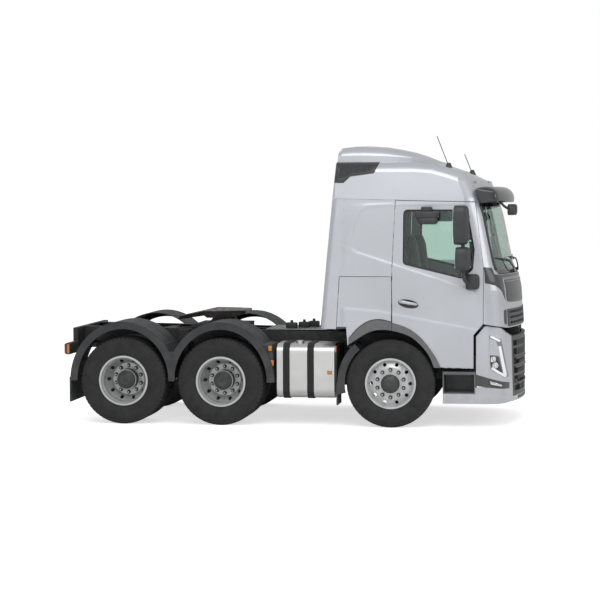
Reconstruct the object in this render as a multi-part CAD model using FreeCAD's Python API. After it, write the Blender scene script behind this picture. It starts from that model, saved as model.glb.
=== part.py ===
import FreeCAD, Part
import math
import os

# Three-axle cab-over tractor unit, in millimetres.
# While modelling, X is measured forward from the front axle, Y to the left from the middle, Z up from the road.
# At export every piece moves along X, so that the origin ends up under the middle of the whole length.

# Driving dimensions of the whole vehicle
FRONT_OVERHANG = 1587
WHEELBASE = 2100
BOGIE_SPREAD = 1230
REAR_OVERHANG = 766
HALF_WIDTH = 1250
CLEAR = 5
TOUCH_GAP = 0.3
OVERRUN = 40

# Tyres and wheels
TYRE_R = 538
TYRE_WIDTH = 300
TYRE_SHOULDER_DROP = 20
TREAD_WIDTH = 246
SIDEWALL_R = 425
BEAD_R = 296
BEAD_WIDTH = 236
RIM_R = 310
RIM_LIP = 16
RIM_WALL = 9
RIM_WELL_R = 268
DISC_WALL = 14
PILOT_R = 140
HUB_CAP_R = 125
HUB_CAP_LENGTH = 34
NUT_CIRCLE_R = 167.5
NUT_R = 17
NUT_LENGTH = 26
NUT_COUNT = 10
HAND_HOLE_CIRCLE_R = 238
HAND_HOLE_R = 22
HAND_HOLE_COUNT = 10
TWIN_GAP = 36
SPINDLE_R = 45
SPINDLE_CLEAR = 0.08

# Frame
RAIL_HALF_GAUGE = 430
RAIL_WEB = 10
RAIL_HEIGHT = 270
RAIL_FLANGE = 85
RAIL_TOP_FRONT_Z = 1078
RAIL_TOP_REAR_Z = 1160
RAIL_FRONT_X = 1250
TAIL_BEAM_DEPTH = 60
CROSS_MEMBER_WIDTH = 120
CROSS_MEMBER_WALL = 12

# Front axle and steering
KINGPIN_HALF_TRACK = 925
KINGPIN_R = 24
AXLE_BEAM_WIDTH = 90
AXLE_BEAM_HEIGHT = 110
AXLE_BEAM_DROP = 110
AXLE_EYE_R = 50
AXLE_EYE_HEIGHT = 130
KNUCKLE_EAR = 34
KNUCKLE_ARM_REACH = 190
KNUCKLE_ARM_INSET = 110
KNUCKLE_ARM_WIDTH = 44
TRACK_ROD_R = 22
FRONT_SPRING_WIDTH = 80
FRONT_SPRING_LENGTH = 1180
FRONT_SPRING_STACK = 66
FRONT_SPRING_ARCH = 90

# Drive axles and bogie
AXLE_TUBE_R = 75
DIFF_R = 210
DIFF_WIDTH = 300
SHAFT_R = 45
BOGIE_SPRING_WIDTH = 90
BOGIE_SPRING_STACK = 90
BOGIE_TRUNNION_R = 60
BOGIE_TRUNNION_Z = 620

# Engine, cooler
ENGINE_LENGTH = 1150
ENGINE_WIDTH = 620
ENGINE_HEIGHT = 720
ENGINE_FRONT_X = 900
ENGINE_BOTTOM_Z = 520
GEARBOX_LENGTH = 760
GEARBOX_WIDTH = 420
GEARBOX_HEIGHT = 420
COOLER_DEPTH = 110
COOLER_WIDTH = 900
COOLER_BOTTOM_Z = 480
COOLER_FRONT_X = 1230

# Fuel tank and boxes beside the frame
TANK_REAR_X = -1400
TANK_FRONT_X = -690
TANK_BOTTOM_Z = 345
TANK_TOP_Z = 1010
TANK_INSET = 45
TANK_OUTER_Y = HALF_WIDTH - TANK_INSET
TANK_DEPTH = 640
TANK_CORNER_R = 110
TANK_CAP_R = 50
TANK_CAP_HEIGHT = 34
STRAP_WIDTH = 82
STRAP_THICK = 10
BOX_GAP = 40

# Mudguards
GUARD_SKIN = 8
GUARD_LIP = 92
GUARD_INNER_Y = 560
GUARD_END_Z = 555
FLAP_THICK = 12
FLAP_BOTTOM_Z = 270
FRONT_GUARD_R = 640
FRONT_GUARD_INNER_Y = 905

# Tail lamps
TAIL_LAMP_DEPTH = 72
TAIL_LAMP_WIDTH = 420
TAIL_LAMP_HEIGHT = 150
TAIL_LAMP_TOP_Z = 1000
TAIL_LAMP_OUTER_Y = 1180

# Fifth wheel
FIFTH_SETBACK = 200
FIFTH_X = -WHEELBASE - FIFTH_SETBACK
FIFTH_TOP_Z = 1362
FIFTH_PLATE = 40
FIFTH_RIM_DEPTH = 95
FIFTH_LENGTH = 870
FIFTH_WIDTH = 900
FIFTH_CORNER_R = 120
FIFTH_SLOT_HALF = 100
FIFTH_RAMP_LENGTH = 330
FIFTH_RAMP_DROP = 90
KINGPIN_JAW_R = 25.5
JAW_BLOCK_R = 78
FIFTH_PIVOT_DROP = 110
FIFTH_PIVOT_R = 32
FIFTH_BRACKET_HALF = 300
FIFTH_BRACKET_THICK = 60
FIFTH_BASE_LENGTH = 660
FIFTH_BASE_THICK = 25

# Cab shell: heights
FLOOR_Z = 1200
FLOOR_THICK = 50
SKIRT_Z = 700
COWL_Z = 1830
SEAM_REAR_Z = 2787
SEAM_DROP = 48
ROOF_Z = 3256
# Cab shell: lengths from the front axle
CAB_BACK_X = -862
CAB_BACK_LEAN = 0.0895
CAB_FRONT_X = 1566
CAB_WALL = 55
CAB_SKIRT_WALL = 40
PANEL_GAP = 6
# Plan rings of the cab shell: height, fall of the front and loss of width, as shares of the three spans
SHELL_HEIGHT = 2600
FRONT_LEAN = 616
SIDE_LEAN = 165
CAB_INSET = 5
CAB_HALF_WIDTH = HALF_WIDTH - CAB_INSET
SHELL_RING_SHARES = [
    (0.0, 0.0, 0.02), (0.2115, 0.0, 0.0), (0.3746, 0.045, 0.0), (0.4346, 0.099, 0.006),
    (0.4962, 0.205, 0.055), (0.5788, 0.276, 0.139), (0.7196, 0.396, 0.285), (0.8038, 0.506, 0.394),
    (0.8846, 0.675, 0.576), (1.0, 1.0, 1.0),
]
BOW_DROP = 190
CORNER_WIDTH = 205
CORNER_LENGTH = 220
CORNER_BULGE_SHARE = 0.155
BACK_CORNER_R = 70
BACK_BULGE_SHARE = 0.207
# Roof stations: place along the roof and height of its top, as shares of the roof's length and height
ROOF_REAR_X = -760
ROOF_LENGTH = 2120
ROOF_HEIGHT = 560
ROOF_BASE_Z = 2696
ROOF_STATION_SHARES = [
    (0.0, 1.0), (0.48, 1.0), (0.59, 0.965), (0.678, 0.868), (0.782, 0.734), (0.852, 0.602),
    (0.922, 0.468), (1.0, 0.30),
]
ROOF_SIDE_LEAN = 0.16
ROOF_EDGE_DROP = 150
ROOF_EDGE_INSET = 190
ROOF_EDGE_BULGE_SHARE = 0.19
ROOF_CROWN = 28
ROOF_WALL = 50
# Deflector stations: place, height above the roof and half width as shares
DEFLECTOR_REAR_X = -705
DEFLECTOR_LENGTH = 1250
DEFLECTOR_HEIGHT = 215
DEFLECTOR_BASE_Z = 3230
DEFLECTOR_HALF_WIDTH = 985
DEFLECTOR_STATION_SHARES = [
    (0.0, 0.52, 0.98), (0.06, 0.93, 1.0), (0.16, 0.995, 1.0), (0.27, 1.0, 1.0), (0.46, 0.93, 0.98),
    (0.61, 0.78, 0.95), (0.75, 0.60, 0.91), (0.87, 0.36, 0.85), (1.0, 0.05, 0.76),
]
DEFLECTOR_EDGE_SHARE = 0.62
# Vent panels in the upper rear corners of the roof, seen from the side
VENT_TOP_Z = 3262
VENT_BOTTOM_Z = 2976
VENT_STEP_Z = 3052
VENT_FRONT_X = -136
VENT_BEND_X = -210
VENT_REAR_X = -760
VENT_STEP_X = -500
VENT_LEAN = 60
VENT_INNER_Y = 930

# Doors
DOOR_REAR_X = 18
DOOR_REAR_LEAN = 36
DOOR_WAIST_Z = 1960
DOOR_FRONT_X = 1125
DOOR_FRONT_LOW_X = 1012
DOOR_NOTCH_TOP_Z = 1272
DOOR_NOTCH_LOW_Z = 1137
DOOR_BOTTOM_FRONT_Z = 735
DOOR_BOTTOM_REAR_Z = 800
DOOR_PILLAR_TOP_X = 1020
WINDOW_REAR_X = 155
WINDOW_REAR_LOW_X = 150
WINDOW_TOP_Z = 2650
WINDOW_FRONT_TOP_X = 930
WINDOW_FRONT_X = 1018
WINDOW_FRONT_LOW_X = 1000
WINDOW_BELT_FRONT_Z = 1815
WINDOW_BELT_REAR_Z = 1990
WINDOW_BELT_FRONT_X = 870
WINDOW_FRONT_WAIST_Z = 2170
WINDOW_FRONT_LOW_Z = 1930
WINDOW_CORNER_R = 55
GLASS_INSET = 22
GLASS_THICK = 6

# Side panels and lockers
SIDE_SEAM_TOP_X = -567
SIDE_SEAM_LOW_X = -663
LOCKER_TOP_Z = 1842
LOCKER_LOW_Z = 1222

# Wheel arch: angle above straight ahead and distance from the wheel's middle as a share of the tyre's radius
ARCH_INNER_SHARES = [
    (12, 1.055), (20, 1.055), (35, 1.085), (53, 1.124), (66, 1.163), (83.5, 1.192), (99, 1.241),
    (113, 1.26), (126.4, 1.256), (138, 1.30),
]
ARCH_OUTER_SHARES = [
    (18.5, 1.197), (26, 1.195), (42.6, 1.205), (57.6, 1.262), (73, 1.327), (87.8, 1.385), (97.8, 1.456),
    (106, 1.488), (116.8, 1.462), (132.8, 1.374),
]
ARCH_TRIM_PROUD = 18
ARCH_LOW_Z = 742

# Windscreen and the front below it
SCREEN_LOW_Z = 1862
SCREEN_TOP_Z = 2735
SCREEN_HALF_LOW = 1105
SCREEN_HALF_TOP = 1062
SCREEN_CORNER_R = 70
SCREEN_SIDE_X = 1075
SCREEN_THICK = 8
LID_TOP_Z = 1812
LID_BOTTOM_Z = 1212
LID_SEAT_WIDTH = 30
LID_SEAT_TOP_Z = 1690
LID_HALF = 960
LID_WALL = 40
FRONT_LOW_Z = 1200
CORNER_LOW_FRONT_X = 1435
CORNER_LOW_FRONT_Z = 1216
UPPER_GRILLE_TOP_Z = 1430
UPPER_GRILLE_LOW_Z = 1238
UPPER_GRILLE_HALF = 890
GRILLE_BAR = 16
UPPER_GRILLE_BARS = 3
TUNNEL_HALF = 400
TUNNEL_TOP_Z = 1330
TUNNEL_WALL = 30
TUNNEL_FRONT_X = 1000
ARCH_REAR_LOW_Z = 1075
WELL_WIDTH = 150
FRONT_DISC_ROOT = -68
FRONT_DISC_FACE = -108
FRONT_HUB_LENGTH = 150
REAR_DISC_ROOT = 55
REAR_HUB_OUT = 135
REAR_HUB_IN = 110
KNUCKLE_PLATE = 40
KNUCKLE_ARM_THICK = 34
KNUCKLE_ARM_DROP = 20
AXLE_FLAT = 85
CAB_PIVOT_X = 1490
CAB_PIVOT_Z = 1150
CAB_PIVOT_R = 18
CAB_PIVOT_EYE = 38
CAB_REST_X = -800
BUMPER_BEAM_X = 1420
BUMPER_BEAM_Z = 560
CAB_ARM_WIDTH = 60
CAB_ARM_Y = 364
TAIL_X = -WHEELBASE - BOGIE_SPREAD - REAR_OVERHANG
TAIL_BEAM_HALF = 760
CROSS_MEMBER_X = [-3700, -2990, -1650, -1150]
BUMPER_BEAM_HEIGHT = 130
BOGIE_RISE = 60
GEARBOX_Z = 800
STRAP_X = (-1283, -983)
GUARD_STAY_R = 20
GUARD_STAY_X = 520
FRONT_GUARD_ANGLE = 48
GUARD_ARC_POINTS = 9
REAR_GUARD_HALF_LENGTH = 672
REAR_GUARD_HEIGHT = 737
GUARD_LEG_HALF = 40
FRONT_GUARD_STAY_RISE = 440
FIFTH_FRONT_SHARE = 0.39
FIFTH_NOSE_SHARE = 0.62
FIFTH_INSET_SHARE = 0.08
FIFTH_BASE_CLEAR = 22
FIFTH_BASE_HALF = 455
FIFTH_FOOT_LENGTH = 120
FIFTH_FOOT_SHARE = 0.45
VISOR_BRACKET_Y = 780
FRONT_MIRROR_ARM_X = 1290
DASH_LOW_Z = 1560
DASH_LEG_Y = 700
DASH_LEG = 120
STEERING_LEAN = 40
STEERING_COLUMN = 420
BOGIE_SEAT_HALF = 68

# Lower front: bumper, lamp panels, grille and step housings
LOW_INSET = 55
LOW_HALF_WIDTH = HALF_WIDTH - LOW_INSET
LOW_FRONT_X = 1587
LOW_WALL = 45
BUMPER_BOTTOM_Z = 300
BUMPER_TOP_Z = 500
BUMPER_REAR_X = 650
LAMP_PANEL_TOP_Z = 1247
FLOOR_SIDE_CLEAR = 20
LAMP_PANEL_REAR_LOW_X = 1035
LAMP_PANEL_REAR_Z = 1118
LAMP_PANEL_REAR_TOP_X = 1143
LAMP_PANEL_MIDDLE_X = 1327
LAMP_PANEL_MIDDLE_Z = 1220
LAMP_PANEL_FRONT_X = 1392
LAMP_PANEL_FRONT_Z = 1152
LAMP_PANEL_END_X = 1444
LOW_GRILLE_HALF_LOW = 800
LOW_GRILLE_HALF_TOP = 860
LOW_GRILLE_BOTTOM_Z = 360
LOW_GRILLE_TOP_Z = 1105
LOW_GRILLE_SLOTS = 6
LOW_GRILLE_FRAME = 60
STEP_FRONT_X = 1025
STEP_REAR_X = 632
STEP_BOTTOM_Z = 420
STEP_TOP_Z = 690
STEP_INNER_Y = 830
STEP_WALL = 12
STEP_RECESS_TOP_Z = 655
LAMP_THICK = 30
LAMP_LOW_Z = 598
LAMP_HIGH_Z = 1142
LAMP_REAR_X = 1190
LAMP_TOP_FRONT_X = 1335
LAMP_TOP_FRONT_Z = 1078
LAMP_FRONT_X = 1425
LAMP_LOW_REAR_X = 1205
LAMP_REAR_LOW_Z = 725
LAMP_CORNER_R = 14
FOG_REAR_LOW_Z = 519
FOG_REAR_HIGH_Z = 662
FOG_LOW_Z = 470
FOG_HIGH_Z = 545

# Roof and door fittings
VISOR_REAR_X = 1010
VISOR_DROP = 215
VISOR_REACH = 175
VISOR_HALF = 1120
VISOR_THICK = 24
VISOR_TOP_Z = 2935
FRONT_MIRROR_X = 1440
FRONT_MIRROR_Y = -700
FRONT_MIRROR_Z = 2640
FRONT_MIRROR_LENGTH = 230
FRONT_MIRROR_R = 75
MIRROR_Y = -1450
MIRROR_TOP_X0 = 790
MIRROR_TOP_X1 = 975
MIRROR_TOP_Z0 = 2235
MIRROR_TOP_Z1 = 2700
MIRROR_LOW_X0 = 815
MIRROR_LOW_X1 = 985
MIRROR_LOW_Z0 = 1925
MIRROR_LOW_Z1 = 2200
MIRROR_DEPTH_Y = 190
MIRROR_ARM_R = 22
MIRROR_FOOT_X = 1028
MIRROR_FOOT_Z = 1790
MIRROR_FOOT_LENGTH = 150
MIRROR_FOOT_HEIGHT = 130
KERB_MIRROR_X = 450
KERB_MIRROR_Z = 2560
KERB_MIRROR_LENGTH = 280
KERB_MIRROR_HEIGHT = 150
KERB_MIRROR_OUT = 110
AERIAL_R = 5
AERIAL_BASE_R = 60
AERIAL_BASE_HEIGHT = 45
AERIAL_ONE_X = 655
AERIAL_ONE_Y = -500
AERIAL_ONE_RUN = 146
AERIAL_ONE_RISE = 330
AERIAL_TWO_X = 900
AERIAL_TWO_Y = 300
AERIAL_TWO_RUN = 98
AERIAL_TWO_RISE = 200

# Inside the cab
DASH_DEPTH = 380
DASH_TOP_Z = 1850
DASH_FRONT_X = 1330
DASH_HALF = 1020
STEERING_WHEEL_R = 225
STEERING_RIM_R = 16
STEERING_WHEEL_Y = 560
STEERING_WHEEL_X = 850
STEERING_WHEEL_Z = 1960
SEAT_X = 230
SEAT_Y = 560
SEAT_WIDTH = 520
SEAT_DEPTH = 520
SEAT_CUSHION = 130
SEAT_BASE_HEIGHT = 340
SEAT_BACK_HEIGHT = 760
SEAT_BACK_THICK = 140
BUNK_DEPTH = 640
BUNK_HEIGHT = 150
BUNK_Z = 1640
SLIVER_VOLUME = 1e6
HANDLE_X = 220
HANDLE_Z = 1512
HANDLE_LENGTH = 240
HANDLE_HEIGHT = 36
HANDLE_OUT = 34
HANDLE_LEAN = 12
VISOR_TOP_REAR_X = 1150
NUT_SIDES = 6
AXLE_EYE_SHARE = 0.9
FIFTH_HORN_OUTER_SHARE = 2.6
FIFTH_HORN_INNER_SHARE = 1.6
FIFTH_LUG_SHARE = 1.6
FIFTH_EAR_SHARE = 1.5
SPOKE_COUNT = 3
SEAT_FOOT_SHARE = 0.2
SEAT_BACK_SHARE = 0.45


def vec(x=0, y=0, z=0):
    return FreeCAD.Vector(x, y, z)


def box(x0, x1, y0, y1, z0, z1):
    return Part.makeBox(x1 - x0, y1 - y0, z1 - z0, vec(x0, y0, z0))


def tube(radius, start, end):
    """A round bar between two points."""
    run = end - start
    return Part.makeCylinder(radius, run.Length, start, run)


def wheel_bar(radius, x, y0, y1, z):
    """A round bar across the vehicle."""
    return tube(radius, vec(x, y0, z), vec(x, y1, z))


def fuse(shapes):
    return shapes[0].multiFuse(shapes[1:]).removeSplitter() if len(shapes) > 1 else shapes[0]


def mirrored(shape):
    return shape.mirror(vec(), vec(0, 1, 0))


def both_sides(shape):
    return Part.Compound([shape, mirrored(shape)])


def rounded_edges(points):
    """Edges of a closed outline. A point is two coordinates, and a third rounds its corner by that radius."""
    count = len(points)
    ends = []
    for index, point in enumerate(points):
        here = vec(point[0], point[1])
        if len(point) == 2 or not point[2]:
            ends.append((here, None, here))
            continue
        before = vec(*points[index - 1][:2]) - here
        after = vec(*points[(index + 1) % count][:2]) - here
        half = before.getAngle(after) / 2
        reach = min(point[2] / math.tan(half), before.Length / 2, after.Length / 2)
        radius = reach * math.tan(half)
        before.normalize()
        after.normalize()
        middle = before + after
        middle.normalize()
        crown = here + middle * (radius / math.sin(half) - radius)
        ends.append((here + before * reach, crown, here + after * reach))
    edges = []
    for index, (first, crown, last) in enumerate(ends):
        if crown:
            edges.append(Part.Arc(first, crown, last).toShape())
        following = ends[(index + 1) % count][0]
        if (following - last).Length > TOUCH_GAP:
            edges.append(Part.LineSegment(last, following).toShape())
    return edges


def side_wire(points, y):
    """An outline in the side view, its points given as (x, z)."""
    wire = Part.Wire(rounded_edges(points))
    wire.rotate(vec(), vec(1, 0, 0), 90)
    wire.translate(vec(0, y, 0))
    return wire


def side_prism(points, y0, y1):
    return Part.Face(side_wire(points, y0)).extrude(vec(0, y1 - y0, 0))


def front_prism(points, x0, x1):
    """An outline in the front view, its points given as (y, z), made solid from x0 to x1."""
    wire = Part.Wire(rounded_edges(points))
    wire.rotate(vec(), vec(1, 0, 0), 90)
    wire.rotate(vec(), vec(0, 0, 1), 90)
    wire.translate(vec(x0, 0, 0))
    return Part.Face(wire).extrude(vec(x1 - x0, 0, 0))


def plan_prism(points, z0, z1):
    wire = Part.Wire(rounded_edges(points))
    wire.translate(vec(0, 0, z0))
    return Part.Face(wire).extrude(vec(0, 0, z1 - z0))


def bulged(start, end, share, outward):
    """An arc from start to end that bulges by a share of its chord towards outward."""
    chord = end - start
    middle = (start + end) / 2
    aside = outward - chord * (outward.dot(chord) / chord.dot(chord))
    aside.normalize()
    return Part.Arc(start, middle + aside * (chord.Length * share), end).toShape()


def back_x(z):
    return CAB_BACK_X + CAB_BACK_LEAN * (z - FLOOR_Z)


def ring(z, front_x, half_width, inset):
    """One plan outline of the cab: bowed front, round front corners, straight sides, tight rear corners."""
    rear = back_x(z) + inset
    front = front_x - inset
    half = half_width - inset
    shoulder = half - CORNER_WIDTH
    bow_x = front - BOW_DROP
    side_x = bow_x - CORNER_LENGTH
    r_p = vec(bow_x, -shoulder, z)
    l_p = vec(bow_x, shoulder, z)
    r_s = vec(side_x, -half, z)
    l_s = vec(side_x, half, z)
    r_b = vec(rear + BACK_CORNER_R, -half, z)
    l_b = vec(rear + BACK_CORNER_R, half, z)
    r_c = vec(rear, -half + BACK_CORNER_R, z)
    l_c = vec(rear, half - BACK_CORNER_R, z)
    edges = [
        Part.Arc(r_p, vec(front, 0, z), l_p).toShape(),
        bulged(l_p, l_s, CORNER_BULGE_SHARE, vec(1, 1, 0)),
        Part.LineSegment(l_s, l_b).toShape(),
        bulged(l_b, l_c, BACK_BULGE_SHARE, vec(-1, 1, 0)),
        Part.LineSegment(l_c, r_c).toShape(),
        bulged(r_c, r_b, BACK_BULGE_SHARE, vec(-1, -1, 0)),
        Part.LineSegment(r_b, r_s).toShape(),
        bulged(r_s, r_p, CORNER_BULGE_SHARE, vec(1, -1, 0)),
    ]
    return Part.Wire(edges)


def cab_loft(inset):
    wires = []
    for height, lean, narrow in SHELL_RING_SHARES:
        z = SKIRT_Z + height * SHELL_HEIGHT
        front = CAB_FRONT_X - lean * FRONT_LEAN
        wires.append(ring(z, front, CAB_HALF_WIDTH - narrow * SIDE_LEAN, inset))
    return Part.makeLoft(wires, True, True)


def arch_ring(x, base_z, top_z, half_low, half_top, edge_drop, edge_inset, crown):
    """One cross-section of a roof: flat below, leaning sides, round edges and a crowned top."""
    points = [vec(x, -half_low, base_z), vec(x, -half_top, top_z - edge_drop),
              vec(x, -half_top + edge_inset, top_z - crown)]
    far = [vec(x, -p.y, p.z) for p in points]
    edges = [
        Part.LineSegment(points[0], points[1]).toShape(),
        bulged(points[1], points[2], ROOF_EDGE_BULGE_SHARE, vec(0, -1, 1)),
        Part.Arc(points[2], vec(x, 0, top_z), far[2]).toShape(),
        bulged(far[2], far[1], ROOF_EDGE_BULGE_SHARE, vec(0, 1, 1)),
        Part.LineSegment(far[1], far[0]).toShape(),
        Part.LineSegment(far[0], points[0]).toShape(),
    ]
    return Part.Wire(edges)


def roof_loft(inset):
    wires = []
    half_seam = CAB_HALF_WIDTH - SIDE_LEAN * SHELL_RING_SHARES[-3][2]
    for place, height in ROOF_STATION_SHARES:
        x = ROOF_REAR_X + place * ROOF_LENGTH
        top = ROOF_BASE_Z + height * ROOF_HEIGHT - inset
        edge_z = top - ROOF_EDGE_DROP
        half_top = half_seam - ROOF_SIDE_LEAN * (edge_z - ROOF_BASE_Z) - inset
        base = ROOF_BASE_Z - (OVERRUN if inset else 0)
        wires.append(arch_ring(x, base, top, half_seam + OVERRUN * ROOF_SIDE_LEAN - inset, half_top,
                               ROOF_EDGE_DROP, ROOF_EDGE_INSET, ROOF_CROWN))
    return Part.makeLoft(wires, True, True)


def seam_z(x):
    """Height of the seam between body and roof."""
    return SEAM_REAR_Z - SEAM_DROP * (x - CAB_BACK_X) / (DOOR_FRONT_X - CAB_BACK_X)


def seam_prism(rise, height):
    """All that lies between the seam, raised by rise, and a level above or below it."""
    x0 = CAB_BACK_X - OVERRUN
    x1 = CAB_FRONT_X + OVERRUN
    z0 = seam_z(x0) + rise
    z1 = seam_z(x1) + rise
    points = [(x0, z0), (x1, z1), (x1, height), (x0, height)]
    return side_prism(points, -HALF_WIDTH, HALF_WIDTH)


def side_seam_x(z):
    """The seam between back wall and side panel."""
    share = (z - FLOOR_Z) / (SEAM_REAR_Z - FLOOR_Z)
    return SIDE_SEAM_LOW_X + share * (SIDE_SEAM_TOP_X - SIDE_SEAM_LOW_X)


def arch_points(shares):
    points = []
    for angle, share in shares:
        reach = share * TYRE_R
        points.append((reach * math.cos(math.radians(angle)), TYRE_R + reach * math.sin(math.radians(angle))))
    return points


def arch_curve(shares, grow):
    """A smooth arch line over the front wheel, in the side view, grown outwards by a margin."""
    points = [(x + grow * x / TYRE_R, z + grow * (z - TYRE_R) / TYRE_R) for x, z in arch_points(shares)]
    curve = Part.BSplineCurve()
    curve.interpolate([vec(x, 0, z) for x, z in points])
    return curve, points


def arch_prism(shares, grow, y0, y1, low_z):
    """The space below an arch line, down to a level."""
    curve, points = arch_curve(shares, grow)
    first = vec(points[0][0], 0, points[0][1])
    last = vec(points[-1][0], 0, points[-1][1])
    low_first = vec(first.x, 0, low_z)
    low_last = vec(last.x, 0, low_z)
    wire = Part.Wire([
        curve.toShape(), Part.LineSegment(last, low_last).toShape(),
        Part.LineSegment(low_last, low_first).toShape(), Part.LineSegment(low_first, first).toShape(),
    ])
    wire.translate(vec(0, y0, 0))
    return Part.Face(wire).extrude(vec(0, y1 - y0, 0))


def door_points(gap):
    """The right door's outline in the side view, drawn in by a gap."""
    top = seam_z(DOOR_REAR_X) - gap
    top_front = seam_z(DOOR_PILLAR_TOP_X) - gap
    return [
        (DOOR_REAR_X + gap, DOOR_BOTTOM_REAR_Z - OVERRUN), (DOOR_REAR_X + gap, DOOR_WAIST_Z),
        (DOOR_REAR_X + DOOR_REAR_LEAN + gap, top), (DOOR_PILLAR_TOP_X - gap, top_front),
        (DOOR_FRONT_X - gap, DOOR_WAIST_Z), (DOOR_FRONT_X - gap, DOOR_NOTCH_TOP_Z),
        (DOOR_FRONT_LOW_X - gap, DOOR_NOTCH_LOW_Z), (DOOR_FRONT_LOW_X - gap, DOOR_BOTTOM_FRONT_Z),
    ]


def window_points():
    r = WINDOW_CORNER_R
    return [
        (WINDOW_REAR_LOW_X, WINDOW_BELT_REAR_Z, r), (WINDOW_REAR_X, WINDOW_TOP_Z, r),
        (WINDOW_FRONT_TOP_X, WINDOW_TOP_Z, r), (WINDOW_FRONT_X, WINDOW_FRONT_WAIST_Z),
        (WINDOW_FRONT_LOW_X, WINDOW_FRONT_LOW_Z, r), (WINDOW_BELT_FRONT_X, WINDOW_BELT_FRONT_Z, r),
    ]


def screen_points():
    r = SCREEN_CORNER_R
    return [
        (-SCREEN_HALF_LOW, SCREEN_LOW_Z, r), (SCREEN_HALF_LOW, SCREEN_LOW_Z, r),
        (SCREEN_HALF_TOP, SCREEN_TOP_Z, r), (-SCREEN_HALF_TOP, SCREEN_TOP_Z, r),
    ]


def lid_points(gap):
    return [
        (-LID_HALF + gap, LID_BOTTOM_Z - OVERRUN), (LID_HALF - gap, LID_BOTTOM_Z - OVERRUN),
        (LID_HALF - gap, LID_TOP_Z - gap), (-LID_HALF + gap, LID_TOP_Z - gap),
    ]


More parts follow.
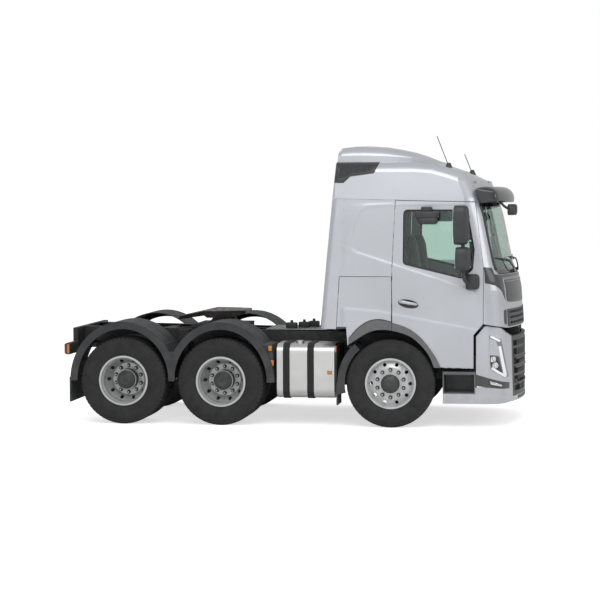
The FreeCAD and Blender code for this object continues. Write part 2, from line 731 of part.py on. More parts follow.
def cab_body():
    """All fixed pieces of the cab's shell, the doors, the locker lids and the front lid, cut from one shell."""
    outer = cab_loft(0)
    inner = cab_loft(CAB_WALL)
    hollow = inner.cut(box(-FRONT_OVERHANG, FRONT_OVERHANG, -HALF_WIDTH, HALF_WIDTH, SKIRT_Z - OVERRUN,
                           FLOOR_Z + FLOOR_THICK))
    below = box(-FRONT_OVERHANG, FRONT_OVERHANG + OVERRUN, -CAB_HALF_WIDTH + CAB_SKIRT_WALL,
                CAB_HALF_WIDTH - CAB_SKIRT_WALL, SKIRT_Z - OVERRUN, FLOOR_Z)
    shell = outer.common(seam_prism(0, SKIRT_Z - OVERRUN)).cut(hollow)
    floor_zone = box(-FRONT_OVERHANG, FRONT_OVERHANG + OVERRUN, -HALF_WIDTH, HALF_WIDTH, FLOOR_Z,
                     FLOOR_Z + FLOOR_THICK)
    shell = shell.cut(below).cut(floor_zone.common(inner))
    arch_hole = arch_prism(ARCH_INNER_SHARES, 0, -HALF_WIDTH, HALF_WIDTH, SKIRT_Z - OVERRUN)
    shell = shell.cut(arch_hole)
    parts = {}
    reach = 2 * HALF_WIDTH
    door_hole = side_prism(door_points(0), -reach, -CAB_HALF_WIDTH / 2)
    door_hole = door_hole.cut(arch_prism(ARCH_INNER_SHARES, 0, -reach, 0, SKIRT_Z - OVERRUN))
    door_form = side_prism(door_points(PANEL_GAP), -reach, -CAB_HALF_WIDTH / 2)
    window = side_prism(window_points(), -reach, -CAB_HALF_WIDTH / 2)
    door_zone = box(DOOR_REAR_X - OVERRUN, DOOR_FRONT_X + OVERRUN, -HALF_WIDTH, -CAB_HALF_WIDTH + SIDE_LEAN
                    + CAB_WALL, SKIRT_Z - OVERRUN, SEAM_REAR_Z)
    right_shell = shell.common(door_zone)
    door = right_shell.common(door_form).cut(window)
    parts["door_right"] = door
    glass_skin = cab_loft(GLASS_INSET).cut(cab_loft(GLASS_INSET + GLASS_THICK))
    parts["door_glass_right"] = glass_skin.common(window).common(door_zone)
    floor = cab_loft(CAB_WALL + TOUCH_GAP).common(floor_zone)
    tunnel_inner = box(back_x(FLOOR_Z) - OVERRUN, TUNNEL_FRONT_X, -TUNNEL_HALF, TUNNEL_HALF,
                       SKIRT_Z, TUNNEL_TOP_Z)
    tunnel_outer = box(back_x(FLOOR_Z) + CAB_WALL + TUNNEL_WALL, TUNNEL_FRONT_X + TUNNEL_WALL,
                       -TUNNEL_HALF - TUNNEL_WALL, TUNNEL_HALF + TUNNEL_WALL, FLOOR_Z, TUNNEL_TOP_Z + TUNNEL_WALL)
    eye = CAB_PIVOT_EYE
    lugs = []
    for side in (-1, 1):
        y0, y1 = sorted((side * CAB_ARM_Y, side * (CAB_ARM_Y - CAB_ARM_WIDTH)))
        lugs.append(side_prism([
            (CAB_PIVOT_X - 2 * CAB_ARM_WIDTH, FLOOR_Z + FLOOR_THICK / 2),
            (CAB_PIVOT_X - eye / 2, FLOOR_Z + FLOOR_THICK / 2),
            (CAB_PIVOT_X + eye, CAB_PIVOT_Z, eye / 2), (CAB_PIVOT_X + eye, CAB_PIVOT_Z - eye, eye),
            (CAB_PIVOT_X - eye, CAB_PIVOT_Z - eye, eye)], y0, y1))
    pivot = wheel_bar(CAB_PIVOT_R + SPINDLE_CLEAR, CAB_PIVOT_X, -HALF_WIDTH, HALF_WIDTH, CAB_PIVOT_Z)
    floor = floor.fuse(tunnel_outer).cut(tunnel_inner).multiFuse(lugs).cut(pivot).removeSplitter()
    lamp_room = low_shell(-FLOOR_SIDE_CLEAR, LOW_WALL + FLOOR_SIDE_CLEAR, FLOOR_Z - OVERRUN,
                          FLOOR_Z + FLOOR_THICK + OVERRUN)
    lamp_room = lamp_room.common(box(LAMP_PANEL_REAR_LOW_X - FLOOR_SIDE_CLEAR, LAMP_PANEL_END_X, -HALF_WIDTH,
                                     HALF_WIDTH, 0, 2 * FLOOR_Z))
    floor = floor.cut(lamp_room)
    parts["cab_floor"] = floor
    body = shell.cut(door_hole).cut(mirrored(door_hole))
    lid_hole = side_prism(locker_points(0), -reach, -CAB_HALF_WIDTH / 2)
    lid_form = side_prism(locker_points(PANEL_GAP), -reach, -CAB_HALF_WIDTH / 2)
    arch_edge = arch_prism(ARCH_OUTER_SHARES, 0, -reach, 0, SKIRT_Z - OVERRUN)
    arch_edge_gap = arch_prism(ARCH_OUTER_SHARES, PANEL_GAP, -reach, 0, SKIRT_Z - OVERRUN)
    lid_zone = box(-FRONT_OVERHANG, DOOR_REAR_X, -HALF_WIDTH, -CAB_HALF_WIDTH + SIDE_LEAN + CAB_WALL,
                   SKIRT_Z - OVERRUN, SEAM_REAR_Z)
    lid_hole = lid_hole.cut(arch_edge)
    parts["locker_lid_right"] = shell.common(lid_zone).common(lid_form).cut(arch_edge_gap)
    body = body.cut(lid_hole).cut(mirrored(lid_hole))
    z0 = SKIRT_Z - OVERRUN
    back_form = side_prism([(-FRONT_OVERHANG, z0), (side_seam_x(z0), z0), (side_seam_x(SEAM_REAR_Z + OVERRUN),
                           SEAM_REAR_Z + OVERRUN), (-FRONT_OVERHANG, SEAM_REAR_Z + OVERRUN)],
                           -HALF_WIDTH, HALF_WIDTH)
    cut_low = box(-FRONT_OVERHANG, SIDE_SEAM_TOP_X, -HALF_WIDTH, HALF_WIDTH, z0, FLOOR_Z)
    back = body.common(back_form).cut(cut_low)
    parts["cab_back_wall"] = back
    side_form = box(-FRONT_OVERHANG, DOOR_REAR_X + DOOR_REAR_LEAN + CLEAR, -HALF_WIDTH, HALF_WIDTH, z0,
                    SEAM_REAR_Z + OVERRUN).cut(back_form)
    low_rear = side_prism([(-FRONT_OVERHANG, z0), (SIDE_SEAM_TOP_X + 2 * OVERRUN, z0),
                           (-TYRE_R + OVERRUN, ARCH_REAR_LOW_Z), (SIDE_SEAM_LOW_X - OVERRUN, FLOOR_Z),
                           (-FRONT_OVERHANG, FLOOR_Z)], -HALF_WIDTH, HALF_WIDTH)
    side = body.common(side_form).cut(low_rear)
    parts["cab_sides"] = Part.Compound([piece for piece in side.Solids if piece.Volume > SLIVER_VOLUME])
    front_form = box(DOOR_REAR_X + DOOR_REAR_LEAN + CLEAR, FRONT_OVERHANG + OVERRUN, -HALF_WIDTH, HALF_WIDTH,
                     FRONT_LOW_Z, SEAM_REAR_Z + OVERRUN)
    front = body.common(front_form)
    screen_hole = front_prism(screen_points(), SCREEN_SIDE_X - CORNER_LENGTH, FRONT_OVERHANG + OVERRUN)
    lid_hole_front = front_prism(lid_points(0), TUNNEL_FRONT_X, FRONT_OVERHANG + OVERRUN)
    corner_low = side_prism([
        (DOOR_FRONT_LOW_X - OVERRUN, FRONT_LOW_Z - OVERRUN), (DOOR_FRONT_LOW_X - OVERRUN, DOOR_NOTCH_TOP_Z),
        (DOOR_FRONT_X, DOOR_NOTCH_TOP_Z), (CORNER_LOW_FRONT_X, CORNER_LOW_FRONT_Z),
        (CORNER_LOW_FRONT_X, FRONT_LOW_Z - OVERRUN)], -HALF_WIDTH, HALF_WIDTH)
    front = front.cut(screen_hole).cut(lid_hole_front).cut(corner_low)
    seat_band = cab_loft(LID_WALL + TOUCH_GAP).cut(cab_loft(CAB_WALL)).common(front_prism([
        (-LID_HALF, LID_BOTTOM_Z + OVERRUN), (LID_SEAT_WIDTH - LID_HALF, LID_BOTTOM_Z + OVERRUN),
        (LID_SEAT_WIDTH - LID_HALF, LID_SEAT_TOP_Z), (-LID_HALF, LID_SEAT_TOP_Z)], TUNNEL_FRONT_X,
        FRONT_OVERHANG))
    front = front.multiFuse([seat_band, mirrored(seat_band)]).removeSplitter()
    parts["cab_front"] = front
    screen_skin = cab_loft(GLASS_INSET / 2).cut(cab_loft(GLASS_INSET / 2 + SCREEN_THICK))
    screen_zone = box(SCREEN_SIDE_X - CORNER_LENGTH, FRONT_OVERHANG + OVERRUN, -HALF_WIDTH, HALF_WIDTH,
                      COWL_Z, SEAM_REAR_Z)
    parts["windscreen"] = screen_skin.common(screen_hole).common(screen_zone)
    lid_form_front = front_prism(lid_points(PANEL_GAP), TUNNEL_FRONT_X, FRONT_OVERHANG + OVERRUN)
    lid_skin = outer.cut(cab_loft(LID_WALL)).common(box(TUNNEL_FRONT_X, FRONT_OVERHANG + OVERRUN, -HALF_WIDTH,
                                                      HALF_WIDTH, LID_BOTTOM_Z, COWL_Z))
    lid = lid_skin.common(lid_form_front)
    lid = lid.cut(grille_slots(UPPER_GRILLE_LOW_Z, UPPER_GRILLE_TOP_Z, UPPER_GRILLE_HALF, UPPER_GRILLE_BARS))
    parts["front_lid"] = lid
    return parts, outer


def grille_slots(low_z, top_z, half, bars):
    """The openings between level bars of a grille, as seen from the front."""
    slots = []
    pitch = (top_z - low_z) / bars
    for index in range(bars):
        z0 = low_z + index * pitch + GRILLE_BAR
        z1 = low_z + (index + 1) * pitch - GRILLE_BAR
        for side in (-1, 1):
            edge = sorted((side * GRILLE_BAR, side * half))
            slots.append(box(CAB_FRONT_X - FRONT_LEAN, FRONT_OVERHANG + OVERRUN, edge[0], edge[1], z0, z1))
    return Part.Compound(slots)


def locker_points(gap):
    return [
        (side_seam_x(LOCKER_LOW_Z) + gap, LOCKER_LOW_Z + gap), (-TYRE_R, LOCKER_LOW_Z + gap),
        (-TYRE_R + OVERRUN, SKIRT_Z), (DOOR_REAR_X - gap, SKIRT_Z), (DOOR_REAR_X - gap, LOCKER_TOP_Z - gap),
        (side_seam_x(LOCKER_TOP_Z) + gap, LOCKER_TOP_Z - gap),
    ]


def roof_parts(outer):
    top_body = roof_loft(0).common(outer)
    hollow = roof_loft(ROOF_WALL).common(cab_loft(ROOF_WALL))
    above = seam_prism(PANEL_GAP / 2, 2 * ROOF_Z)
    roof = top_body.cut(hollow).common(above)
    seam_band = seam_prism(0, 2 * ROOF_Z).cut(seam_prism(PANEL_GAP, 2 * ROOF_Z))
    rim = cab_loft(CAB_WALL / 2).cut(cab_loft(CAB_WALL)).common(seam_band)
    roof = roof.fuse(rim).removeSplitter()
    wires = []
    for place, height, width in DEFLECTOR_STATION_SHARES:
        x = DEFLECTOR_REAR_X + place * DEFLECTOR_LENGTH
        top = DEFLECTOR_BASE_Z + height * DEFLECTOR_HEIGHT
        half = DEFLECTOR_HALF_WIDTH * width
        rise = (top - DEFLECTOR_BASE_Z) * DEFLECTOR_EDGE_SHARE
        wires.append(arch_ring(x, DEFLECTOR_BASE_Z - 2 * DEFLECTOR_HEIGHT, top, half, half - rise / 2, rise,
                               rise + OVERRUN, min(ROOF_CROWN, rise / 2)))
    behind = side_prism([(-FRONT_OVERHANG, ROOF_BASE_Z), (back_x(ROOF_BASE_Z), ROOF_BASE_Z), (back_x(2 * ROOF_Z),
                         2 * ROOF_Z), (-FRONT_OVERHANG, 2 * ROOF_Z)], -HALF_WIDTH, HALF_WIDTH)
    hood = Part.makeLoft(wires, True, True).cut(top_body).cut(behind)
    hood = max(hood.Solids, key=lambda solid: solid.BoundBox.ZMax)
    vent_points = [
        (VENT_REAR_X, VENT_TOP_Z), (VENT_FRONT_X, VENT_TOP_Z), (VENT_FRONT_X - OVERRUN / 2, VENT_TOP_Z - VENT_LEAN),
        (VENT_BEND_X, VENT_STEP_Z + OVERRUN), (VENT_STEP_X, VENT_STEP_Z), (VENT_STEP_X - 2 * OVERRUN, VENT_BOTTOM_Z),
        (VENT_REAR_X, VENT_BOTTOM_Z),
    ]
    vent_zone = side_prism(vent_points, -HALF_WIDTH, -VENT_INNER_Y)
    vents = both_sides(roof.common(vent_zone))
    roof = roof.cut(vent_zone).cut(mirrored(vent_zone))
    return roof, hood, vents


def arch_trim(x0, x1, outer):
    """The grey flare over the front wheel between two places along the cab, seated on the panel's skin."""
    reach = CAB_HALF_WIDTH + ARCH_TRIM_PROUD
    band = arch_prism(ARCH_OUTER_SHARES, 0, -reach, -CAB_HALF_WIDTH + OVERRUN, SKIRT_Z - OVERRUN)
    band = band.cut(arch_prism(ARCH_INNER_SHARES, 0, -reach - OVERRUN, 0, SKIRT_Z - 2 * OVERRUN))
    zone = box(x0, x1, -reach - OVERRUN, 0, ARCH_LOW_Z, FLOOR_Z + TYRE_R)
    return band.cut(outer).common(zone)


def low_ring(z, inset, front):
    half = LOW_HALF_WIDTH - inset
    shoulder = half - CORNER_WIDTH
    bow_x = front - inset - BOW_DROP
    side_x = bow_x - CORNER_LENGTH
    rear = BUMPER_REAR_X - FRONT_OVERHANG
    points = [vec(bow_x, shoulder, z), vec(side_x, half, z), vec(rear, half, z)]
    far = [vec(p.x, -p.y, z) for p in points]
    return Part.Wire([
        Part.Arc(far[0], vec(front - inset, 0, z), points[0]).toShape(),
        bulged(points[0], points[1], CORNER_BULGE_SHARE, vec(1, 1, 0)),
        Part.LineSegment(points[1], points[2]).toShape(), Part.LineSegment(points[2], far[2]).toShape(),
        Part.LineSegment(far[2], far[1]).toShape(),
        bulged(far[1], far[0], CORNER_BULGE_SHARE, vec(1, -1, 0)),
    ])


def low_shell(inset0, inset1, z0, z1):
    """A wall that follows the curve of the lower front, between two insets and two levels."""
    height = vec(0, 0, z1 - z0)
    outside = Part.Face(low_ring(z0, inset0, LOW_FRONT_X)).extrude(height)
    inside = Part.Face(low_ring(z0, inset1, LOW_FRONT_X)).extrude(height)
    return outside.cut(inside)


def low_grille_points(margin):
    return [
        (-LOW_GRILLE_HALF_LOW + margin, LOW_GRILLE_BOTTOM_Z + margin),
        (LOW_GRILLE_HALF_LOW - margin, LOW_GRILLE_BOTTOM_Z + margin),
        (LOW_GRILLE_HALF_TOP - margin, LOW_GRILLE_TOP_Z - margin),
        (-LOW_GRILLE_HALF_TOP + margin, LOW_GRILLE_TOP_Z - margin),
    ]


def lower_front():
    parts = {}
    wall = low_shell(0, LOW_WALL, BUMPER_BOTTOM_Z, LAMP_PANEL_TOP_Z + OVERRUN)
    front_zone = box(STEP_FRONT_X, FRONT_OVERHANG + OVERRUN, -HALF_WIDTH, HALF_WIDTH, BUMPER_BOTTOM_Z,
                     LAMP_PANEL_TOP_Z + OVERRUN)
    wall = wall.common(front_zone)
    grille_hole = front_prism(low_grille_points(0), LAMP_PANEL_REAR_LOW_X, FRONT_OVERHANG + OVERRUN)
    grille = wall.common(grille_hole)
    pitch = (LOW_GRILLE_TOP_Z - LOW_GRILLE_BOTTOM_Z - LOW_GRILLE_FRAME) / LOW_GRILLE_SLOTS
    slots = []
    inner = front_prism(low_grille_points(LOW_GRILLE_FRAME), LAMP_PANEL_REAR_LOW_X, FRONT_OVERHANG + OVERRUN)
    for index in range(LOW_GRILLE_SLOTS):
        z0 = LOW_GRILLE_BOTTOM_Z + LOW_GRILLE_FRAME / 2 + index * pitch
        slots.append(box(LAMP_PANEL_REAR_LOW_X, FRONT_OVERHANG + OVERRUN, -HALF_WIDTH, HALF_WIDTH,
                         z0 + GRILLE_BAR, z0 + pitch - GRILLE_BAR))
    grille = grille.cut(inner.common(Part.Compound(slots)))
    parts["lower_grille"] = grille
    sides = wall.cut(grille_hole)
    top_cut = side_prism([
        (LAMP_PANEL_REAR_LOW_X, LAMP_PANEL_REAR_Z), (LAMP_PANEL_REAR_TOP_X, LAMP_PANEL_TOP_Z, OVERRUN),
        (LAMP_PANEL_MIDDLE_X, LAMP_PANEL_MIDDLE_Z, OVERRUN), (LAMP_PANEL_FRONT_X, LAMP_PANEL_FRONT_Z, OVERRUN),
        (LAMP_PANEL_END_X, LOW_GRILLE_TOP_Z), (FRONT_OVERHANG + OVERRUN, LOW_GRILLE_TOP_Z),
        (FRONT_OVERHANG + OVERRUN, 2 * LAMP_PANEL_TOP_Z), (0, 2 * LAMP_PANEL_TOP_Z), (0, LAMP_PANEL_REAR_Z)],
        -HALF_WIDTH, HALF_WIDTH)
    rear_cut = box(0, LAMP_PANEL_REAR_LOW_X, -HALF_WIDTH, HALF_WIDTH, BUMPER_TOP_Z, 2 * LAMP_PANEL_TOP_Z)
    sides = sides.cut(top_cut).cut(rear_cut)
    low = box(0, FRONT_OVERHANG + OVERRUN, -HALF_WIDTH, HALF_WIDTH, 0, BUMPER_TOP_Z)
    panels = sides.cut(low)
    lamp_form = side_prism([
        (LAMP_REAR_X, LAMP_HIGH_Z, LAMP_CORNER_R), (LAMP_TOP_FRONT_X, LAMP_TOP_FRONT_Z, LAMP_CORNER_R),
        (LAMP_FRONT_X, LAMP_LOW_Z, LAMP_CORNER_R), (LAMP_LOW_REAR_X, LAMP_REAR_LOW_Z, LAMP_CORNER_R)],
        -HALF_WIDTH, -LOW_GRILLE_HALF_TOP - OVERRUN)
    lamp_skin = low_shell(0, LAMP_THICK, BUMPER_TOP_Z, LAMP_PANEL_TOP_Z)
    lamp = lamp_skin.common(lamp_form)
    parts["headlamps"] = both_sides(lamp)
    panels = panels.cut(lamp).cut(mirrored(lamp))
    skirt = low_shell(0, LOW_WALL, BUMPER_BOTTOM_Z, STEP_BOTTOM_Z).common(
        box(STEP_REAR_X, STEP_FRONT_X, -HALF_WIDTH, HALF_WIDTH, 0, STEP_TOP_Z))
    fog_band = low_shell(0, LOW_WALL, 0, LAMP_PANEL_TOP_Z).common(side_prism([
        (STEP_FRONT_X, FOG_REAR_LOW_Z), (LAMP_FRONT_X, FOG_LOW_Z), (LAMP_FRONT_X, FOG_HIGH_Z),
        (STEP_FRONT_X, FOG_REAR_HIGH_Z)], -HALF_WIDTH, HALF_WIDTH))
    fog_band = fog_band.cut(grille_hole)
    parts["bumper"] = sides.common(low).cut(fog_band).multiFuse(skirt.Solids).removeSplitter()
    panels = panels.cut(fog_band)
    parts["headlamp_panels"] = Part.Compound([piece for piece in panels.Solids if piece.Volume > SLIVER_VOLUME])
    parts["fog_bands"] = fog_band
    step = box(STEP_REAR_X, STEP_FRONT_X, -LOW_HALF_WIDTH, -STEP_INNER_Y, STEP_BOTTOM_Z, STEP_TOP_Z)
    recess = box(STEP_REAR_X + STEP_WALL, STEP_FRONT_X - STEP_WALL, -LOW_HALF_WIDTH - OVERRUN,
                 -STEP_INNER_Y - STEP_WALL, STEP_BOTTOM_Z + STEP_WALL, STEP_RECESS_TOP_Z)
    parts["step_boxes"] = both_sides(step.cut(recess))
    return parts


def revolved(profile):
    """A ring about the Y axis from a closed outline of (y, radius) points."""
    wire = Part.makePolygon([vec(0, y, r) for y, r in profile + profile[:1]])
    return Part.Face(wire).revolve(vec(), vec(0, 1, 0), 360)


def tyre():
    """A tyre about the Y axis, its middle plane at Y 0."""
    half = TYRE_WIDTH / 2
    half_tread = TREAD_WIDTH / 2
    half_bead = BEAD_WIDTH / 2
    shoulder = TYRE_R - TYRE_SHOULDER_DROP
    step = TYRE_SHOULDER_DROP / 2
    return revolved([
        (-half_bead, BEAD_R), (-half_bead, RIM_R + TOUCH_GAP), (-half, SIDEWALL_R), (-half_tread - step, shoulder),
        (-half_tread, TYRE_R), (half_tread, TYRE_R), (half_tread + step, shoulder), (half, SIDEWALL_R),
        (half_bead, RIM_R + TOUCH_GAP), (half_bead, BEAD_R),
    ])


def disc_wheel(root, face):
    """Rim and disc about the Y axis. The disc leaves the rim at root and its flange's outer side lies at face.
    Outwards is towards -Y."""
    half_well = WELL_WIDTH / 2
    edge = BEAD_WIDTH / 2
    lip = edge + RIM_LIP / 2
    seat = BEAD_R - TOUCH_GAP
    ledge = edge + TOUCH_GAP
    rim = revolved([
        (-lip, RIM_R), (-lip, seat - RIM_WALL), (-half_well - RIM_LIP, seat - 2 * RIM_WALL), (-half_well, RIM_WELL_R),
        (half_well, RIM_WELL_R), (half_well + RIM_LIP, seat - 2 * RIM_WALL), (lip, seat - RIM_WALL), (lip, RIM_R),
        (ledge, RIM_R), (ledge, seat), (half_well + RIM_LIP, seat - RIM_WALL / 2), (half_well, RIM_WELL_R + RIM_WALL),
        (-half_well, RIM_WELL_R + RIM_WALL), (-half_well - RIM_LIP, seat - RIM_WALL / 2), (-ledge, seat),
        (-ledge, RIM_R),
    ])
    flange_r = NUT_CIRCLE_R + NUT_R + DISC_WALL
    meet_r = RIM_WELL_R + RIM_WALL / 2
    disc = revolved([
        (face, SPINDLE_R), (face, flange_r), (root, meet_r), (root + DISC_WALL, meet_r),
        (face + DISC_WALL, flange_r), (face + DISC_WALL, SPINDLE_R),
    ])
    first = min(face, root) - DISC_WALL
    last = max(face, root) + 2 * DISC_WALL
    holes = []
    nuts = []
    for index in range(HAND_HOLE_COUNT):
        hole = wheel_bar(HAND_HOLE_R, 0, first, last, HAND_HOLE_CIRCLE_R)
        hole.rotate(vec(), vec(0, 1, 0), (index + 1 / 2) * 360 / HAND_HOLE_COUNT)
        holes.append(hole)
    for index in range(NUT_COUNT):
        nut = Part.makePolygon([vec(NUT_R * math.cos(math.radians(k * 360 / NUT_SIDES)), face - NUT_LENGTH,
                                    NUT_CIRCLE_R + NUT_R * math.sin(math.radians(k * 360 / NUT_SIDES)))
                                for k in range(NUT_SIDES + 1)])
        nut = Part.Face(nut).extrude(vec(0, NUT_LENGTH + DISC_WALL / 2, 0))
        nut.rotate(vec(), vec(0, 1, 0), index * 360 / NUT_COUNT)
        nuts.append(nut)
    return rim.multiFuse([disc.cut(Part.Compound(holes))] + nuts)


def placed(shape, x, y):
    moved = shape.copy()
    moved.translate(vec(x, y, TYRE_R))
    return moved


def bar_y(radius, y0, y1):
    return wheel_bar(radius, 0, y0, y1, 0)


def front_wheel():
    """A single front wheel with its hub, bored for the spindle."""
    wheel = disc_wheel(FRONT_DISC_ROOT, FRONT_DISC_FACE)
    cap = bar_y(HUB_CAP_R, FRONT_DISC_FACE - HUB_CAP_LENGTH, FRONT_DISC_FACE + DISC_WALL)
    hub = bar_y(PILOT_R, FRONT_DISC_FACE + DISC_WALL / 2, FRONT_DISC_FACE + FRONT_HUB_LENGTH)
    bore = bar_y(SPINDLE_R + SPINDLE_CLEAR, FRONT_DISC_FACE - HUB_CAP_LENGTH / 2, TYRE_WIDTH)
    return wheel.multiFuse([cap, hub]).cut(bore)


def twin_wheels():
    """Two rear wheels back to back on one hub, their shared middle plane at Y 0."""
    shift = (TYRE_WIDTH + TWIN_GAP) / 2
    outer = disc_wheel(REAR_DISC_ROOT, shift - DISC_WALL)
    outer.translate(vec(0, -shift, 0))
    inner = mirrored(outer)
    hub = bar_y(HUB_CAP_R, -REAR_HUB_OUT, REAR_HUB_IN)
    bore = bar_y(SPINDLE_R + SPINDLE_CLEAR, -REAR_HUB_OUT / 2, TYRE_WIDTH)
    return outer.multiFuse([inner, hub]).cut(bore)


def running_gear():
    """The six wheel bodies: node name to shape, the left ones mirrored from the right."""
    parts = {}
    single_y = -HALF_WIDTH + TYRE_WIDTH / 2
    twin_y = -HALF_WIDTH + TYRE_WIDTH + TWIN_GAP / 2
    shift = (TYRE_WIDTH + TWIN_GAP) / 2
    rubber = tyre()
    pair = Part.Compound([rubber.translated(vec(0, -shift, 0)), rubber.translated(vec(0, shift, 0))])
    spots = [("front", 0, single_y, rubber, front_wheel())]
    twins = twin_wheels()
    spots.append(("mid", -WHEELBASE, twin_y, pair, twins))
    spots.append(("rear", -WHEELBASE - BOGIE_SPREAD, twin_y, pair, twins))
    for name, x, y, rubber_shape, metal_shape in spots:
        for kind, shape in (("tyre", rubber_shape), ("wheel", metal_shape)):
            right = placed(shape, x, y)
            parts[f"{kind}_{name}_right"] = right
            parts[f"{kind}_{name}_left"] = mirrored(right)
    return parts


def knuckle():
    """The right steering knuckle: two ears round the kingpin's ends, the spindle and the steering arm."""
    y = -KINGPIN_HALF_TRACK
    low = TYRE_R - AXLE_EYE_HEIGHT / 2 - CLEAR
    high = TYRE_R + AXLE_EYE_HEIGHT / 2 + CLEAR
    back_y = -HALF_WIDTH + TYRE_WIDTH / 2 + FRONT_DISC_FACE + FRONT_HUB_LENGTH + CLEAR
    solids = []
    for z0, z1 in ((low - KNUCKLE_EAR, low), (high, high + KNUCKLE_EAR)):
        solids.append(tube(AXLE_EYE_R, vec(0, y, z0), vec(0, y, z1)))
        solids.append(box(-AXLE_EYE_R, AXLE_EYE_R, back_y, y, z0, z1))
    plate_z0 = low - KNUCKLE_EAR
    plate_z1 = high + KNUCKLE_EAR
    solids.append(box(-AXLE_EYE_R, AXLE_EYE_R, back_y, back_y + KNUCKLE_PLATE, plate_z0, plate_z1))
    tip = -HALF_WIDTH + TYRE_WIDTH / 2 + FRONT_DISC_FACE - HUB_CAP_LENGTH / 2 + CLEAR
    solids.append(wheel_bar(SPINDLE_R, 0, tip, back_y + KNUCKLE_PLATE / 2, TYRE_R))
    arm_y = y + KNUCKLE_ARM_INSET
    arm_z0 = plate_z0 - KNUCKLE_ARM_DROP
    arm = plan_prism([
        (-AXLE_EYE_R * AXLE_EYE_SHARE, y - AXLE_EYE_R), (0, y - AXLE_EYE_R / 2),
         (-AXLE_EYE_R * AXLE_EYE_SHARE, y), (-KNUCKLE_ARM_REACH, arm_y + KNUCKLE_ARM_WIDTH / 2),
        (-KNUCKLE_ARM_REACH - KNUCKLE_ARM_WIDTH / 2, arm_y), (-KNUCKLE_ARM_REACH, arm_y - KNUCKLE_ARM_WIDTH / 2)],
        arm_z0, arm_z0 + KNUCKLE_ARM_THICK)
    solids.append(arm)
    bore = tube(KINGPIN_R + SPINDLE_CLEAR, vec(0, y, plate_z0 - OVERRUN), vec(0, y, plate_z1 + OVERRUN))
    return fuse(solids).cut(bore)


def track_rod():
    """The rod behind the axle that joins both steering arms, seated under their ends."""
    y = -KINGPIN_HALF_TRACK + KNUCKLE_ARM_INSET
    low = TYRE_R - AXLE_EYE_HEIGHT / 2 - CLEAR - KNUCKLE_EAR - KNUCKLE_ARM_DROP
    z = low - TOUCH_GAP - TRACK_ROD_R
    rod = tube(TRACK_ROD_R, vec(-KNUCKLE_ARM_REACH, y, z), vec(-KNUCKLE_ARM_REACH, -y, z))
    ends = [tube(KNUCKLE_ARM_WIDTH / 2, vec(-KNUCKLE_ARM_REACH, side * y, z - TRACK_ROD_R),
                 vec(-KNUCKLE_ARM_REACH, side * y, z + TRACK_ROD_R)) for side in (-1, 1)]
    return fuse([rod] + ends)


def front_axle():
    """The dropped beam between the kingpin eyes, with the kingpins through them."""
    y = KINGPIN_HALF_TRACK
    low = TYRE_R - AXLE_EYE_HEIGHT / 2
    high = TYRE_R + AXLE_EYE_HEIGHT / 2
    beam_top = high - AXLE_BEAM_DROP
    half = AXLE_BEAM_WIDTH / 2
    inner = RAIL_HALF_GAUGE + FRONT_SPRING_WIDTH + 2 * CLEAR
    beam = front_prism([
        (-y, low), (-y + AXLE_FLAT, low), (-inner, beam_top - AXLE_BEAM_HEIGHT), (inner, beam_top - AXLE_BEAM_HEIGHT),
        (y - AXLE_FLAT, low), (y, low), (y, high),
        (inner, beam_top), (-inner, beam_top), (-y, high)], -half, half)
    eyes = []
    for side in (-1, 1):
        eyes.append(tube(AXLE_EYE_R, vec(0, side * y, low), vec(0, side * y, high)))
        eyes.append(tube(KINGPIN_R, vec(0, side * y, low - KNUCKLE_EAR), vec(0, side * y, high + KNUCKLE_EAR)))
    return fuse([beam] + eyes)


def rail_top(x):
    """Height of the frame's top at a place. The frame rises gently towards the tail."""
    tail = -WHEELBASE - BOGIE_SPREAD - REAR_OVERHANG
    share = (RAIL_FRONT_X - x) / (RAIL_FRONT_X - tail)
    return RAIL_TOP_FRONT_Z + share * (RAIL_TOP_REAR_Z - RAIL_TOP_FRONT_Z)


def frame_rails():
    tail = TAIL_X + TAIL_BEAM_DEPTH
    outline = [(tail, rail_top(tail) - RAIL_HEIGHT), (RAIL_FRONT_X, RAIL_TOP_FRONT_Z - RAIL_HEIGHT),
               (RAIL_FRONT_X, RAIL_TOP_FRONT_Z), (tail, rail_top(tail))]
    web = RAIL_WEB
    inside = [(tail - OVERRUN, rail_top(tail) - RAIL_HEIGHT + web), (RAIL_FRONT_X + OVERRUN,
              RAIL_TOP_FRONT_Z - RAIL_HEIGHT + web), (RAIL_FRONT_X + OVERRUN, RAIL_TOP_FRONT_Z - web),
              (tail - OVERRUN, rail_top(tail) - web)]
    rail = side_prism(outline, -RAIL_HALF_GAUGE, -RAIL_HALF_GAUGE + RAIL_FLANGE)
    rail = rail.cut(side_prism(inside, -RAIL_HALF_GAUGE + web, -RAIL_HALF_GAUGE + RAIL_FLANGE + OVERRUN))
    return both_sides(rail)


